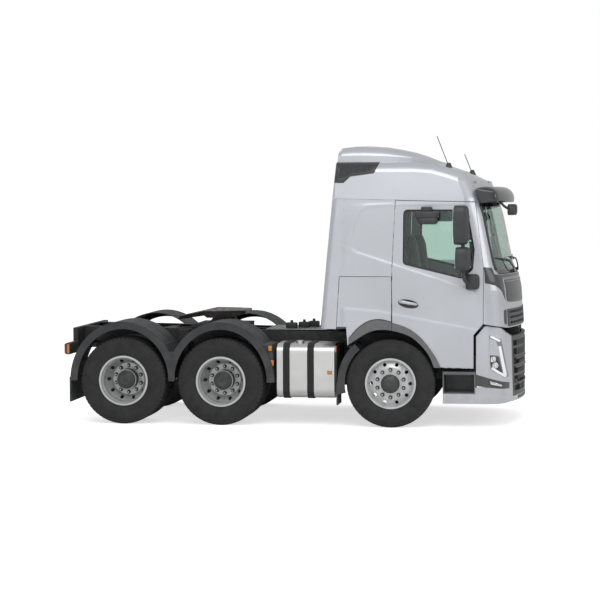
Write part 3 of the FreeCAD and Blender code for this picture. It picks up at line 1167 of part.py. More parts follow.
def cross_members():
    """Channels between the rails, the tail beam and the brackets that carry the cab's pivot."""
    half = RAIL_HALF_GAUGE - RAIL_WEB
    solids = []
    for x in CROSS_MEMBER_X:
        z1 = rail_top(x) - 2 * RAIL_WEB
        z0 = z1 - RAIL_HEIGHT + 4 * RAIL_WEB
        member = box(x - CROSS_MEMBER_WIDTH / 2, x + CROSS_MEMBER_WIDTH / 2, -half, half, z0, z1)
        member = member.cut(box(x - CROSS_MEMBER_WIDTH, x + CROSS_MEMBER_WIDTH / 2 - CROSS_MEMBER_WALL,
                                -half, half, z0 + CROSS_MEMBER_WALL, z1 - CROSS_MEMBER_WALL))
        solids.append(member)
    z = rail_top(TAIL_X)
    solids.append(box(TAIL_X, TAIL_X + TAIL_BEAM_DEPTH, -TAIL_BEAM_HALF, TAIL_BEAM_HALF, z - RAIL_HEIGHT, z))
    eye = CAB_PIVOT_EYE
    low = RAIL_TOP_FRONT_Z - RAIL_HEIGHT
    lugs = []
    for side in (-1, 1):
        y0, y1 = sorted((side * RAIL_HALF_GAUGE, side * (RAIL_HALF_GAUGE - CAB_ARM_WIDTH)))
        lugs.append(side_prism([
            (RAIL_FRONT_X, low), (RAIL_FRONT_X, RAIL_TOP_FRONT_Z), (CAB_PIVOT_X - eye, CAB_PIVOT_Z + eye),
            (CAB_PIVOT_X + eye, CAB_PIVOT_Z + eye, eye), (CAB_PIVOT_X + eye, CAB_PIVOT_Z - eye, eye),
            (CAB_PIVOT_X - eye, CAB_PIVOT_Z - 2 * eye), (BUMPER_BEAM_X, BUMPER_BEAM_Z + BUMPER_BEAM_HEIGHT),
            (BUMPER_BEAM_X, BUMPER_BEAM_Z), (BUMPER_BEAM_X - CAB_ARM_WIDTH, BUMPER_BEAM_Z)], y0, y1))
    cross = low_shell(LOW_WALL, LOW_WALL + CAB_ARM_WIDTH, BUMPER_BEAM_Z, BUMPER_BEAM_Z + BUMPER_BEAM_HEIGHT)
    skin = low_shell(0, LOW_WALL + TOUCH_GAP, BUMPER_BEAM_Z, LOW_GRILLE_TOP_Z + TOUCH_GAP)
    lugs = [lug.cut(skin) for lug in lugs]
    cross = cross.common(box(LAMP_PANEL_REAR_TOP_X, FRONT_OVERHANG, -HALF_WIDTH, HALF_WIDTH, 0, 2 * TYRE_R))
    pin = wheel_bar(CAB_PIVOT_R, CAB_PIVOT_X, -RAIL_HALF_GAUGE, RAIL_HALF_GAUGE, CAB_PIVOT_Z)
    solids.append(fuse(lugs + [cross, pin]))
    for side in (-1, 1):
        y0, y1 = sorted((side * RAIL_HALF_GAUGE, side * (RAIL_HALF_GAUGE - RAIL_FLANGE)))
        far = CAB_REST_X + CAB_ARM_WIDTH
        rest_z = FLOOR_Z - TOUCH_GAP
        solids.append(side_prism([(CAB_REST_X, rail_top(CAB_REST_X)), (far, rail_top(far)), (far, rest_z),
                                  (CAB_REST_X, rest_z)], y0, y1))
    return Part.Compound(solids)


def leaf_spring(x, y, length, z_low, stack, arch, width):
    """A spring pack that sags in the middle, as one solid, its middle seated at a height."""
    def bow(z):
        return Part.Arc(vec(x - length / 2, y - width / 2, z + arch), vec(x, y - width / 2, z),
                        vec(x + length / 2, y - width / 2, z + arch)).toShape()
    low = bow(z_low)
    high = bow(z_low + stack)
    ends = [Part.LineSegment(low.Vertexes[i].Point, high.Vertexes[i].Point).toShape() for i in (0, -1)]
    wire = Part.Wire(Part.__sortEdges__([low, high] + ends))
    return Part.Face(wire).extrude(vec(0, width, 0))


def suspension():
    """Front leaf springs with hangers, and the bogie's springs on their trunnion with seats on the axles."""
    solids = []
    low = TYRE_R + AXLE_EYE_HEIGHT / 2 - AXLE_BEAM_DROP
    y = -RAIL_HALF_GAUGE - FRONT_SPRING_WIDTH / 2 - CLEAR
    spring = leaf_spring(0, y, FRONT_SPRING_LENGTH, low, FRONT_SPRING_STACK, FRONT_SPRING_ARCH,
                         FRONT_SPRING_WIDTH)
    hangers = []
    for side in (-1, 1):
        x = side * (FRONT_SPRING_LENGTH / 2 - CAB_ARM_WIDTH / 2)
        top = RAIL_TOP_FRONT_Z - RAIL_HEIGHT / 2
        hangers.append(box(x - CAB_ARM_WIDTH / 2, x + CAB_ARM_WIDTH / 2, y - FRONT_SPRING_WIDTH / 2,
                           -RAIL_HALF_GAUGE, low + FRONT_SPRING_ARCH / 2, top))
    solids.append(fuse([spring] + hangers))
    mid = -WHEELBASE - BOGIE_SPREAD / 2
    y = -RAIL_HALF_GAUGE - BOGIE_SPRING_WIDTH / 2 - CLEAR
    top = TYRE_R + AXLE_TUBE_R
    length = BOGIE_SPREAD + 2 * AXLE_TUBE_R
    bogie = leaf_spring(mid, y, length, top + BOGIE_RISE, BOGIE_SPRING_STACK, -BOGIE_RISE, BOGIE_SPRING_WIDTH)
    saddle = box(mid - BOGIE_SEAT_HALF, mid + BOGIE_SEAT_HALF, y - BOGIE_SPRING_WIDTH / 2, -RAIL_HALF_GAUGE,
                 BOGIE_TRUNNION_Z - BOGIE_TRUNNION_R, rail_top(mid) - RAIL_WEB)
    solids.append(fuse([bogie, saddle]))
    return Part.Compound([s for solid in solids for s in (solid, mirrored(solid))])


def drive_axles():
    """Two driven axles with their middle housings, spindles and the shafts that join them."""
    twin_y = -HALF_WIDTH + TYRE_WIDTH + TWIN_GAP / 2
    inner = -twin_y - REAR_HUB_IN - CLEAR
    tip = -twin_y + REAR_HUB_OUT / 2 - CLEAR
    solids = []
    for x in (-WHEELBASE, -WHEELBASE - BOGIE_SPREAD):
        axle = wheel_bar(AXLE_TUBE_R, x, -inner, inner, TYRE_R)
        spindle = wheel_bar(SPINDLE_R, x, -tip, tip, TYRE_R)
        drum = Part.makeSphere(DIFF_R, vec(x, 0, TYRE_R))
        drum = drum.common(box(x - DIFF_R, x + DIFF_R, -DIFF_WIDTH / 2, DIFF_WIDTH / 2, 0, 2 * TYRE_R))
        solids += [axle, spindle, drum]
    shaft = tube(SHAFT_R, vec(-WHEELBASE - BOGIE_SPREAD, 0, TYRE_R), vec(-WHEELBASE, 0, TYRE_R))
    gear_x = ENGINE_FRONT_X - ENGINE_LENGTH - GEARBOX_LENGTH
    front = tube(SHAFT_R, vec(-WHEELBASE, 0, TYRE_R), vec(gear_x - TOUCH_GAP, 0, GEARBOX_Z))
    front = front.common(box(-WHEELBASE, gear_x - TOUCH_GAP, -DIFF_R, DIFF_R, 0, 2 * TYRE_R))
    return fuse(solids + [shaft, front])


def engine():
    """Engine block with gearbox, and the cooler in front of it."""
    half = ENGINE_WIDTH / 2
    rear = ENGINE_FRONT_X - ENGINE_LENGTH
    block = box(rear, ENGINE_FRONT_X, -half, half, ENGINE_BOTTOM_Z, ENGINE_BOTTOM_Z + ENGINE_HEIGHT)
    gear = box(rear - GEARBOX_LENGTH, rear, -GEARBOX_WIDTH / 2, GEARBOX_WIDTH / 2,
               GEARBOX_Z - GEARBOX_HEIGHT / 2, GEARBOX_Z + GEARBOX_HEIGHT / 2)
    feet = box(ENGINE_FRONT_X - ENGINE_LENGTH / 2, ENGINE_FRONT_X - ENGINE_LENGTH / 2 + CROSS_MEMBER_WIDTH,
               -RAIL_HALF_GAUGE + RAIL_WEB, RAIL_HALF_GAUGE - RAIL_WEB, RAIL_TOP_FRONT_Z - RAIL_HEIGHT * 3 / 4,
               RAIL_TOP_FRONT_Z - RAIL_HEIGHT / 2)
    cooler = box(COOLER_FRONT_X - COOLER_DEPTH, COOLER_FRONT_X, -COOLER_WIDTH / 2, COOLER_WIDTH / 2,
                 COOLER_BOTTOM_Z, RAIL_TOP_FRONT_Z - RAIL_HEIGHT)
    return Part.Compound([fuse([block, gear, feet]), cooler])


def tank_outline(grow):
    r = TANK_CORNER_R + grow
    y0 = -TANK_OUTER_Y - grow
    y1 = -TANK_OUTER_Y + TANK_DEPTH + grow
    return [(y0, TANK_BOTTOM_Z - grow, r), (y1, TANK_BOTTOM_Z - grow, r), (y1, TANK_TOP_Z + grow, r),
            (y0, TANK_TOP_Z + grow, r)]


def fuel_tank():
    tank = front_prism(tank_outline(0), TANK_REAR_X, TANK_FRONT_X)
    x = sum(STRAP_X) / 2
    cap = tube(TANK_CAP_R, vec(x, -TANK_OUTER_Y + TANK_CORNER_R + TANK_CAP_R, TANK_TOP_Z - CLEAR),
               vec(x, -TANK_OUTER_Y + TANK_CORNER_R + TANK_CAP_R, TANK_TOP_Z + TANK_CAP_HEIGHT))
    return fuse([tank, cap])


def tank_straps():
    """Two straps round the tank with the brackets that carry it on the frame."""
    straps = []
    for x in STRAP_X:
        ring = front_prism(tank_outline(STRAP_THICK), x - STRAP_WIDTH / 2, x + STRAP_WIDTH / 2)
        ring = ring.cut(front_prism(tank_outline(0), x - STRAP_WIDTH, x + STRAP_WIDTH))
        bracket = box(x - STRAP_WIDTH / 2, x + STRAP_WIDTH / 2, -TANK_OUTER_Y + TANK_DEPTH + STRAP_THICK,
                      -RAIL_HALF_GAUGE, TANK_TOP_Z - TANK_CORNER_R - RAIL_HEIGHT / 2, TANK_TOP_Z - TANK_CORNER_R)
        straps.append(ring.fuse(bracket).removeSplitter())
    return Part.Compound(straps)


def side_boxes():
    """The battery box and the silencer's casing on the left side of the frame."""
    boxes = []
    length = (TANK_FRONT_X - TANK_REAR_X - BOX_GAP) / 2
    for index in range(2):
        x0 = TANK_REAR_X + index * (length + BOX_GAP)
        case = front_prism([(RAIL_HALF_GAUGE, TANK_BOTTOM_Z, OVERRUN), (TANK_OUTER_Y, TANK_BOTTOM_Z, OVERRUN),
                            (TANK_OUTER_Y, TANK_TOP_Z, OVERRUN), (RAIL_HALF_GAUGE, TANK_TOP_Z, OVERRUN)],
                           x0, x0 + length)
        boxes.append(case)
    return Part.Compound(boxes)


def arc_band(x, y0, y1, angle0, angle1, half_length, height, depth):
    """Part of an elliptical arch over a wheel at x, of a given depth inwards."""
    curves = []
    for inward in (0, depth):
        points = []
        for index in range(GUARD_ARC_POINTS):
            angle = math.radians(angle0 + (angle1 - angle0) * index / (GUARD_ARC_POINTS - 1))
            points.append(vec(x + (half_length - inward) * math.cos(angle), y0,
                              TYRE_R + (height - inward) * math.sin(angle)))
        curve = Part.BSplineCurve()
        curve.interpolate(points)
        curves.append((curve.toShape(), points))
    (outer, over), (inner, under) = curves
    first = Part.LineSegment(over[0], under[0]).toShape()
    last = Part.LineSegment(under[-1], over[-1]).toShape()
    return Part.Face(Part.Wire([outer, last, inner, first])).extrude(vec(0, y1 - y0, 0))


def arc_guard(x, angle0, angle1, half_length, height, inner_y):
    """A mudguard over a right wheel: its skin and the deep lip along its outer edge."""
    skin = arc_band(x, -HALF_WIDTH, -inner_y, angle0, angle1, half_length, height, GUARD_SKIN)
    lip = arc_band(x, -HALF_WIDTH, -HALF_WIDTH + GUARD_SKIN, angle0, angle1, half_length, height, GUARD_LIP)
    return skin.fuse(lip)


def mudguards():
    """Arched guards over the four twin wheels, the guards behind the front wheels, and their flaps."""
    rear = -WHEELBASE - BOGIE_SPREAD
    middle = -WHEELBASE - BOGIE_SPREAD / 2
    arches = []
    for x, x0, x1 in ((-WHEELBASE, middle, 0), (rear, rear - 2 * TYRE_R, middle)):
        keep = box(x0, x1, -2 * HALF_WIDTH, 0, 0, 3 * TYRE_R)
        arch = arc_guard(x, 0, 180, REAR_GUARD_HALF_LENGTH, REAR_GUARD_HEIGHT, GUARD_INNER_Y)
        arches.append(arch.common(keep))
    leg_top = TYRE_R + REAR_GUARD_HEIGHT / 2
    leg = box(middle - GUARD_LEG_HALF, middle + GUARD_LEG_HALF, -HALF_WIDTH, -HALF_WIDTH + GUARD_SKIN,
              GUARD_END_Z, leg_top)
    web = box(middle - GUARD_SKIN / 2, middle + GUARD_SKIN / 2, -HALF_WIDTH, -GUARD_INNER_Y, GUARD_END_Z, leg_top)
    flap_x = rear - REAR_GUARD_HALF_LENGTH
    flap = box(flap_x - FLAP_THICK, flap_x + GUARD_SKIN, -HALF_WIDTH + GUARD_SKIN, -GUARD_INNER_Y, FLAP_BOTTOM_Z,
               TYRE_R + OVERRUN)
    stays = []
    for x in (-WHEELBASE, rear):
        for shift in (-1, 1):
            place = x + shift * GUARD_STAY_X
            rise = REAR_GUARD_HEIGHT * math.sqrt(1 - (GUARD_STAY_X / REAR_GUARD_HALF_LENGTH) ** 2)
            z = TYRE_R + rise - GUARD_STAY_R - GUARD_SKIN
            stays.append(tube(GUARD_STAY_R, vec(place, -HALF_WIDTH + OVERRUN, z), vec(place, -RAIL_HALF_GAUGE, z)))
    rear_set = fuse(arches + [leg, web, flap] + stays)
    front = arc_guard(0, 180 - FRONT_GUARD_ANGLE, 180 + FRONT_GUARD_ANGLE / 4, FRONT_GUARD_R + GUARD_SKIN,
                      FRONT_GUARD_R + GUARD_SKIN, FRONT_GUARD_INNER_Y)
    front_x = -FRONT_GUARD_R - GUARD_SKIN
    front_flap = box(front_x - FLAP_THICK, front_x + GUARD_SKIN, -HALF_WIDTH + GUARD_SKIN, -FRONT_GUARD_INNER_Y,
                     FLAP_BOTTOM_Z, TYRE_R)
    bar_z = TYRE_R + FRONT_GUARD_STAY_RISE
    bar_x = -math.sqrt(FRONT_GUARD_R ** 2 - FRONT_GUARD_STAY_RISE ** 2) - GUARD_STAY_R
    stay = tube(GUARD_STAY_R, vec(bar_x, -HALF_WIDTH + OVERRUN, bar_z), vec(bar_x, -RAIL_HALF_GAUGE, bar_z))
    front_set = fuse([front, front_flap, stay])
    return Part.Compound([rear_set, mirrored(rear_set), front_set, mirrored(front_set)])


def tail_lamps():
    lamp = box(TAIL_X, TAIL_X + TAIL_LAMP_DEPTH, -TAIL_LAMP_OUTER_Y, -TAIL_LAMP_OUTER_Y + TAIL_LAMP_WIDTH,
               TAIL_LAMP_TOP_Z - TAIL_LAMP_HEIGHT, TAIL_LAMP_TOP_Z)
    return both_sides(lamp)


def fifth_wheel_plate():
    """The tilting plate: flat top, slot that widens to the rear, kingpin jaw, and lugs on the pivot."""
    z1 = FIFTH_TOP_Z
    z0 = z1 - FIFTH_PLATE
    half = FIFTH_WIDTH / 2
    front = FIFTH_X + FIFTH_LENGTH * FIFTH_FRONT_SHARE
    rear = front - FIFTH_LENGTH
    horn_outer = FIFTH_SLOT_HALF * FIFTH_HORN_OUTER_SHARE
    horn_inner = FIFTH_SLOT_HALF * FIFTH_HORN_INNER_SHARE
    plan = [
        (front, -half * FIFTH_NOSE_SHARE, FIFTH_CORNER_R), (front, half * FIFTH_NOSE_SHARE, FIFTH_CORNER_R),
        (FIFTH_X, half, FIFTH_CORNER_R), (FIFTH_X - FIFTH_RAMP_LENGTH / 2, half, FIFTH_CORNER_R),
        (rear, horn_outer), (rear, horn_inner), (FIFTH_X - JAW_BLOCK_R, KINGPIN_JAW_R + CLEAR),
        (FIFTH_X - JAW_BLOCK_R, -KINGPIN_JAW_R - CLEAR), (rear, -horn_inner),
        (rear, -horn_outer), (FIFTH_X - FIFTH_RAMP_LENGTH / 2, -half, FIFTH_CORNER_R),
        (FIFTH_X, -half, FIFTH_CORNER_R),
    ]
    slab = plan_prism(plan, z0 - FIFTH_RIM_DEPTH, z1)
    ramp_x = FIFTH_X - FIFTH_RAMP_LENGTH / 2
    side = side_prism([
        (rear - OVERRUN, z1 - FIFTH_RAMP_DROP - FIFTH_PLATE), (ramp_x, z0 - FIFTH_PLATE / 2),
        (ramp_x + FIFTH_PLATE, z0 - FIFTH_RIM_DEPTH / 2),
        (FIFTH_X + FIFTH_RAMP_LENGTH / 2, z0 - FIFTH_RIM_DEPTH / 2), (front + OVERRUN, z0), (front + OVERRUN, z1),
        (ramp_x, z1), (rear - OVERRUN, z1 - FIFTH_RAMP_DROP)], -half - OVERRUN, half + OVERRUN)
    plate = slab.common(side)
    inside = plan_prism([(p[0] * (1 - FIFTH_INSET_SHARE) + FIFTH_X * FIFTH_INSET_SHARE,
                          p[1] * (1 - FIFTH_INSET_SHARE)) for p in plan[:4]] +
                        [(FIFTH_X - FIFTH_RAMP_LENGTH / 2, -half * (1 - FIFTH_INSET_SHARE)),
                         (FIFTH_X, -half * (1 - FIFTH_INSET_SHARE))], z0 - FIFTH_RIM_DEPTH, z0)
    keep = tube(JAW_BLOCK_R * 2, vec(FIFTH_X, 0, z0 - FIFTH_RIM_DEPTH), vec(FIFTH_X, 0, z0))
    lugs = []
    lug_half = FIFTH_PIVOT_R * FIFTH_LUG_SHARE
    pivot_z = z1 - FIFTH_PIVOT_DROP
    for side_sign in (-1, 1):
        y = side_sign * FIFTH_BRACKET_HALF
        width = FIFTH_BRACKET_THICK / 2
        lug = side_prism([
            (FIFTH_X - 2 * FIFTH_PIVOT_R, z0), (FIFTH_X - lug_half, pivot_z - FIFTH_PIVOT_R, FIFTH_PIVOT_R / 2),
            (FIFTH_X + lug_half, pivot_z - FIFTH_PIVOT_R, FIFTH_PIVOT_R / 2), (FIFTH_X + 2 * FIFTH_PIVOT_R, z0)],
            y - width, y + width)
        lugs.append(lug)
    plate = plate.cut(inside.cut(keep)).multiFuse(lugs)
    jaw = tube(KINGPIN_JAW_R, vec(FIFTH_X, 0, 0), vec(FIFTH_X, 0, z1 + OVERRUN))
    block = box(FIFTH_X - JAW_BLOCK_R - OVERRUN, FIFTH_X, -JAW_BLOCK_R, JAW_BLOCK_R, z0 - FIFTH_RIM_DEPTH / 2, z0)
    bore = wheel_bar(FIFTH_PIVOT_R + SPINDLE_CLEAR, FIFTH_X, -half, half, pivot_z)
    return plate.fuse(block).cut(jaw).cut(bore).removeSplitter()


def fifth_wheel_base():
    """The mounting plate across the frame with two pedestals and their pivot pins."""
    half = FIFTH_BASE_LENGTH / 2
    base_z = rail_top(FIFTH_X - half) + FIFTH_BASE_CLEAR
    pivot_z = FIFTH_TOP_Z - FIFTH_PIVOT_DROP
    plate = box(FIFTH_X - half, FIFTH_X + half, -FIFTH_BASE_HALF, FIFTH_BASE_HALF, base_z, base_z + FIFTH_BASE_THICK)
    solids = [plate]
    for x in (FIFTH_X - half, FIFTH_X + half - FIFTH_FOOT_LENGTH):
        for side in (-1, 1):
            y = side * (RAIL_HALF_GAUGE - RAIL_FLANGE / 2)
            far = x + FIFTH_FOOT_LENGTH
            solids.append(side_prism([(x, rail_top(x)), (far, rail_top(far)), (far, base_z), (x, base_z)],
                                     y - RAIL_FLANGE / 2, y + RAIL_FLANGE / 2))
    ear = FIFTH_BRACKET_THICK / 2
    ear_half = FIFTH_PIVOT_R * FIFTH_EAR_SHARE
    gap = FIFTH_BRACKET_THICK / 2 + CLEAR
    for side in (-1, 1):
        for near in (-1, 1):
            y = side * FIFTH_BRACKET_HALF + near * (gap + ear / 2)
            solids.append(side_prism([
                (FIFTH_X - half * FIFTH_FOOT_SHARE, base_z + FIFTH_BASE_THICK),
                (FIFTH_X + half * FIFTH_FOOT_SHARE, base_z + FIFTH_BASE_THICK),
                (FIFTH_X + ear_half, pivot_z + FIFTH_PIVOT_R, FIFTH_PIVOT_R),
                (FIFTH_X - ear_half, pivot_z + FIFTH_PIVOT_R, FIFTH_PIVOT_R)], y - ear / 2, y + ear / 2))
        y0 = side * FIFTH_BRACKET_HALF - gap - ear
        y1 = side * FIFTH_BRACKET_HALF + gap + ear
        solids.append(wheel_bar(FIFTH_PIVOT_R, FIFTH_X, y0, y1, pivot_z))
    return fuse(solids)


def sun_visor(outer):
    """The dark visor across the top of the windscreen, with the front mirror that hangs from it."""
    skin = cab_loft(-VISOR_REACH).cut(cab_loft(-VISOR_REACH + VISOR_THICK))
    zone = front_prism([
        (-VISOR_HALF, VISOR_TOP_Z - VISOR_DROP), (VISOR_HALF, VISOR_TOP_Z - VISOR_DROP),
        (VISOR_HALF, VISOR_TOP_Z), (-VISOR_HALF, VISOR_TOP_Z)], VISOR_REAR_X, FRONT_OVERHANG + VISOR_REACH)
    top = cab_loft(-VISOR_REACH).cut(roof_loft(0).common(outer)).cut(outer).common(box(
        VISOR_TOP_REAR_X, FRONT_OVERHANG + VISOR_REACH, -VISOR_HALF, VISOR_HALF, VISOR_TOP_Z - VISOR_THICK,
        VISOR_TOP_Z))
    visor = skin.common(zone).multiFuse(top.Solids)
    brackets = []
    for y in (-VISOR_BRACKET_Y, -VISOR_BRACKET_Y / 3, VISOR_BRACKET_Y / 3, VISOR_BRACKET_Y):
        bar = box(VISOR_REAR_X, FRONT_OVERHANG, y - VISOR_THICK / 2, y + VISOR_THICK / 2,
                  VISOR_TOP_Z - VISOR_DROP / 2 - VISOR_THICK, VISOR_TOP_Z - VISOR_DROP / 2)
        bar = bar.common(cab_loft(-VISOR_REACH + VISOR_THICK / 2)).cut(outer)
        brackets.append(max(bar.Solids, key=lambda solid: solid.BoundBox.XMax))
    head = tube(FRONT_MIRROR_R, vec(FRONT_MIRROR_X, FRONT_MIRROR_Y - FRONT_MIRROR_LENGTH / 2, FRONT_MIRROR_Z),
                vec(FRONT_MIRROR_X, FRONT_MIRROR_Y + FRONT_MIRROR_LENGTH / 2, FRONT_MIRROR_Z))
    arm = tube(MIRROR_ARM_R / 2, vec(FRONT_MIRROR_X, FRONT_MIRROR_Y, FRONT_MIRROR_Z),
               vec(FRONT_MIRROR_ARM_X, FRONT_MIRROR_Y, VISOR_TOP_Z - VISOR_DROP / 2))
    return fuse([visor] + brackets + [head, arm])


def door_fittings(outer):
    """Mirrors of the right door: two stacked heads on an arm, and the kerb mirror over the window."""
    foot_y = -CAB_HALF_WIDTH
    foot = box(MIRROR_FOOT_X - MIRROR_FOOT_LENGTH / 2, MIRROR_FOOT_X + MIRROR_FOOT_LENGTH / 2,
               foot_y - MIRROR_ARM_R * 2, foot_y + OVERRUN, MIRROR_FOOT_Z - MIRROR_FOOT_HEIGHT / 2, MIRROR_FOOT_Z + MIRROR_FOOT_HEIGHT / 2)
    heads = []
    for x0, x1, z0, z1 in ((MIRROR_TOP_X0, MIRROR_TOP_X1, MIRROR_TOP_Z0, MIRROR_TOP_Z1),
                           (MIRROR_LOW_X0, MIRROR_LOW_X1, MIRROR_LOW_Z0, MIRROR_LOW_Z1)):
        y0 = MIRROR_Y - MIRROR_DEPTH_Y / 2
        y1 = MIRROR_Y + MIRROR_DEPTH_Y / 2
        round_r = (x1 - x0) / 2
        head = plan_prism([(x0, y0), (x1, y0, round_r), (x1, y1, round_r), (x0, y1)], z0, z1)
        heads.append(head)
    arm_x = (MIRROR_LOW_X0 + MIRROR_LOW_X1) / 2
    arm = tube(MIRROR_ARM_R, vec(arm_x, MIRROR_Y, MIRROR_LOW_Z0 - MIRROR_ARM_R * 3),
               vec(arm_x, MIRROR_Y, MIRROR_TOP_Z0 + OVERRUN))
    link = tube(MIRROR_ARM_R, vec(MIRROR_FOOT_X, foot_y - MIRROR_ARM_R, MIRROR_FOOT_Z),
                vec(arm_x, MIRROR_Y, MIRROR_LOW_Z0 - MIRROR_ARM_R * 2))
    kerb_y = -CAB_HALF_WIDTH + MIRROR_ARM_R
    kerb = front_prism([
        (kerb_y - KERB_MIRROR_OUT * 2, KERB_MIRROR_Z - KERB_MIRROR_HEIGHT / 2, OVERRUN),
        (kerb_y - KERB_MIRROR_OUT / 2, KERB_MIRROR_Z - KERB_MIRROR_HEIGHT / 2, OVERRUN),
        (kerb_y - KERB_MIRROR_OUT / 2, KERB_MIRROR_Z + KERB_MIRROR_HEIGHT / 2, OVERRUN),
        (kerb_y - KERB_MIRROR_OUT * 2, KERB_MIRROR_Z + KERB_MIRROR_HEIGHT / 2, OVERRUN)],
        KERB_MIRROR_X - KERB_MIRROR_LENGTH / 2, KERB_MIRROR_X + KERB_MIRROR_LENGTH / 2)
    hanger = box(KERB_MIRROR_X - OVERRUN, KERB_MIRROR_X + OVERRUN, kerb_y - KERB_MIRROR_OUT, kerb_y + OVERRUN,
                 KERB_MIRROR_Z + KERB_MIRROR_HEIGHT / 2 - MIRROR_ARM_R, WINDOW_TOP_Z + MIRROR_ARM_R * 2)
    main = fuse([foot.cut(outer), arm, link.cut(outer)] + heads)
    half = HANDLE_LENGTH / 2
    handle = plan_prism([
        (-half, foot_y + OVERRUN), (-half, foot_y - HANDLE_OUT, OVERRUN / 2), (half, foot_y - HANDLE_OUT, OVERRUN / 2),
        (half, foot_y + OVERRUN), (half - OVERRUN, foot_y + OVERRUN), (half - OVERRUN, foot_y - HANDLE_OUT / 2),
        (OVERRUN - half, foot_y - HANDLE_OUT / 2), (OVERRUN - half, foot_y + OVERRUN)],
        -HANDLE_HEIGHT / 2, HANDLE_HEIGHT / 2)
    handle.rotate(vec(), vec(0, 1, 0), HANDLE_LEAN)
    handle.translate(vec(HANDLE_X, 0, HANDLE_Z))
    return [main, fuse([kerb, hanger.cut(outer)])] + handle.cut(outer).Solids


def cab_inside():
    """Dashboard with steering wheel, and the two seats with the bunk behind them."""
    inner = cab_loft(CAB_WALL + CLEAR)
    floor = FLOOR_Z + FLOOR_THICK
    dash = box(DASH_FRONT_X - DASH_DEPTH, DASH_FRONT_X, -DASH_HALF, DASH_HALF, DASH_LOW_Z, DASH_TOP_Z)
    legs = [box(DASH_FRONT_X - DASH_DEPTH / 2, DASH_FRONT_X, side * DASH_LEG_Y - DASH_LEG / 2,
                side * DASH_LEG_Y + DASH_LEG / 2, floor, DASH_LOW_Z) for side in (-1, 1)]
    dash = fuse([dash] + legs).common(inner)
    hub = vec(STEERING_WHEEL_X, STEERING_WHEEL_Y, STEERING_WHEEL_Z)
    lean = vec(-math.cos(math.radians(STEERING_LEAN)), 0, math.sin(math.radians(STEERING_LEAN)))
    rim = Part.makeTorus(STEERING_WHEEL_R, STEERING_RIM_R, hub, lean)
    column = tube(STEERING_RIM_R * 2, hub + lean * STEERING_RIM_R, hub - lean * STEERING_COLUMN)
    spokes = []
    for index in range(SPOKE_COUNT):
        spoke = tube(STEERING_RIM_R / 2, vec(), vec(0, STEERING_WHEEL_R, 0))
        spoke.rotate(vec(), vec(1, 0, 0), index * 360 / SPOKE_COUNT)
        spoke.rotate(vec(), vec(0, 1, 0), STEERING_LEAN)
        spoke.translate(hub)
        spokes.append(spoke)
    dash = fuse([dash, column, rim] + spokes)
    seats = []
    for side in (-1, 1):
        y = side * SEAT_Y
        base_z = floor + SEAT_BASE_HEIGHT
        pedestal = box(SEAT_X + OVERRUN, SEAT_X + SEAT_DEPTH - OVERRUN, y - SEAT_WIDTH * SEAT_FOOT_SHARE,
                       y + SEAT_WIDTH * SEAT_FOOT_SHARE, floor, base_z)
        cushion = side_prism([
            (SEAT_X, base_z, OVERRUN), (SEAT_X + SEAT_DEPTH, base_z, OVERRUN),
            (SEAT_X + SEAT_DEPTH, base_z + SEAT_CUSHION, OVERRUN), (SEAT_X, base_z + SEAT_CUSHION)],
            y - SEAT_WIDTH / 2, y + SEAT_WIDTH / 2)
        back = side_prism([
            (SEAT_X, base_z), (SEAT_X + SEAT_BACK_THICK, base_z + SEAT_CUSHION),
            (SEAT_X + SEAT_BACK_THICK / 2, base_z + SEAT_BACK_HEIGHT, OVERRUN),
            (SEAT_X - SEAT_BACK_THICK / 2, base_z + SEAT_BACK_HEIGHT, OVERRUN)], y - SEAT_WIDTH * SEAT_BACK_SHARE,
            y + SEAT_WIDTH * SEAT_BACK_SHARE)
        seats.append(fuse([pedestal, cushion, back]))
    bunk = box(back_x(BUNK_Z), back_x(BUNK_Z) + CAB_WALL + BUNK_DEPTH, -HALF_WIDTH, HALF_WIDTH, BUNK_Z,
               BUNK_Z + BUNK_HEIGHT)
    bunk = bunk.common(cab_loft(CAB_WALL + TOUCH_GAP))
    seats.append(bunk)
    return dash, Part.Compound(seats)


def aerials(roof):
    """Two thin rods on the roof, each on a low rounded foot that is seated on the roof's skin."""
    rods = []
    for x, y, run, rise in ((AERIAL_ONE_X, AERIAL_ONE_Y, AERIAL_ONE_RUN, AERIAL_ONE_RISE),
                            (AERIAL_TWO_X, AERIAL_TWO_Y, AERIAL_TWO_RUN, AERIAL_TWO_RISE)):
        line = Part.Edge(Part.LineSegment(vec(x, y, ROOF_BASE_Z + ROOF_WALL * 2), vec(x, y, 2 * ROOF_Z)))
        top = max(v.Point.z for v in roof.common(line).Vertexes)
        foot = Part.makeCone(AERIAL_BASE_R, AERIAL_BASE_R / 3, AERIAL_BASE_HEIGHT + OVERRUN, vec(x, y, top - OVERRUN))
        rod = tube(AERIAL_R, vec(x, y, top), vec(x - run, y, top + AERIAL_BASE_HEIGHT + rise))
        rods.append(fuse([foot, rod]).cut(roof))
    return Part.Compound([max(r.Solids, key=lambda solid: solid.BoundBox.ZMax) for r in rods])


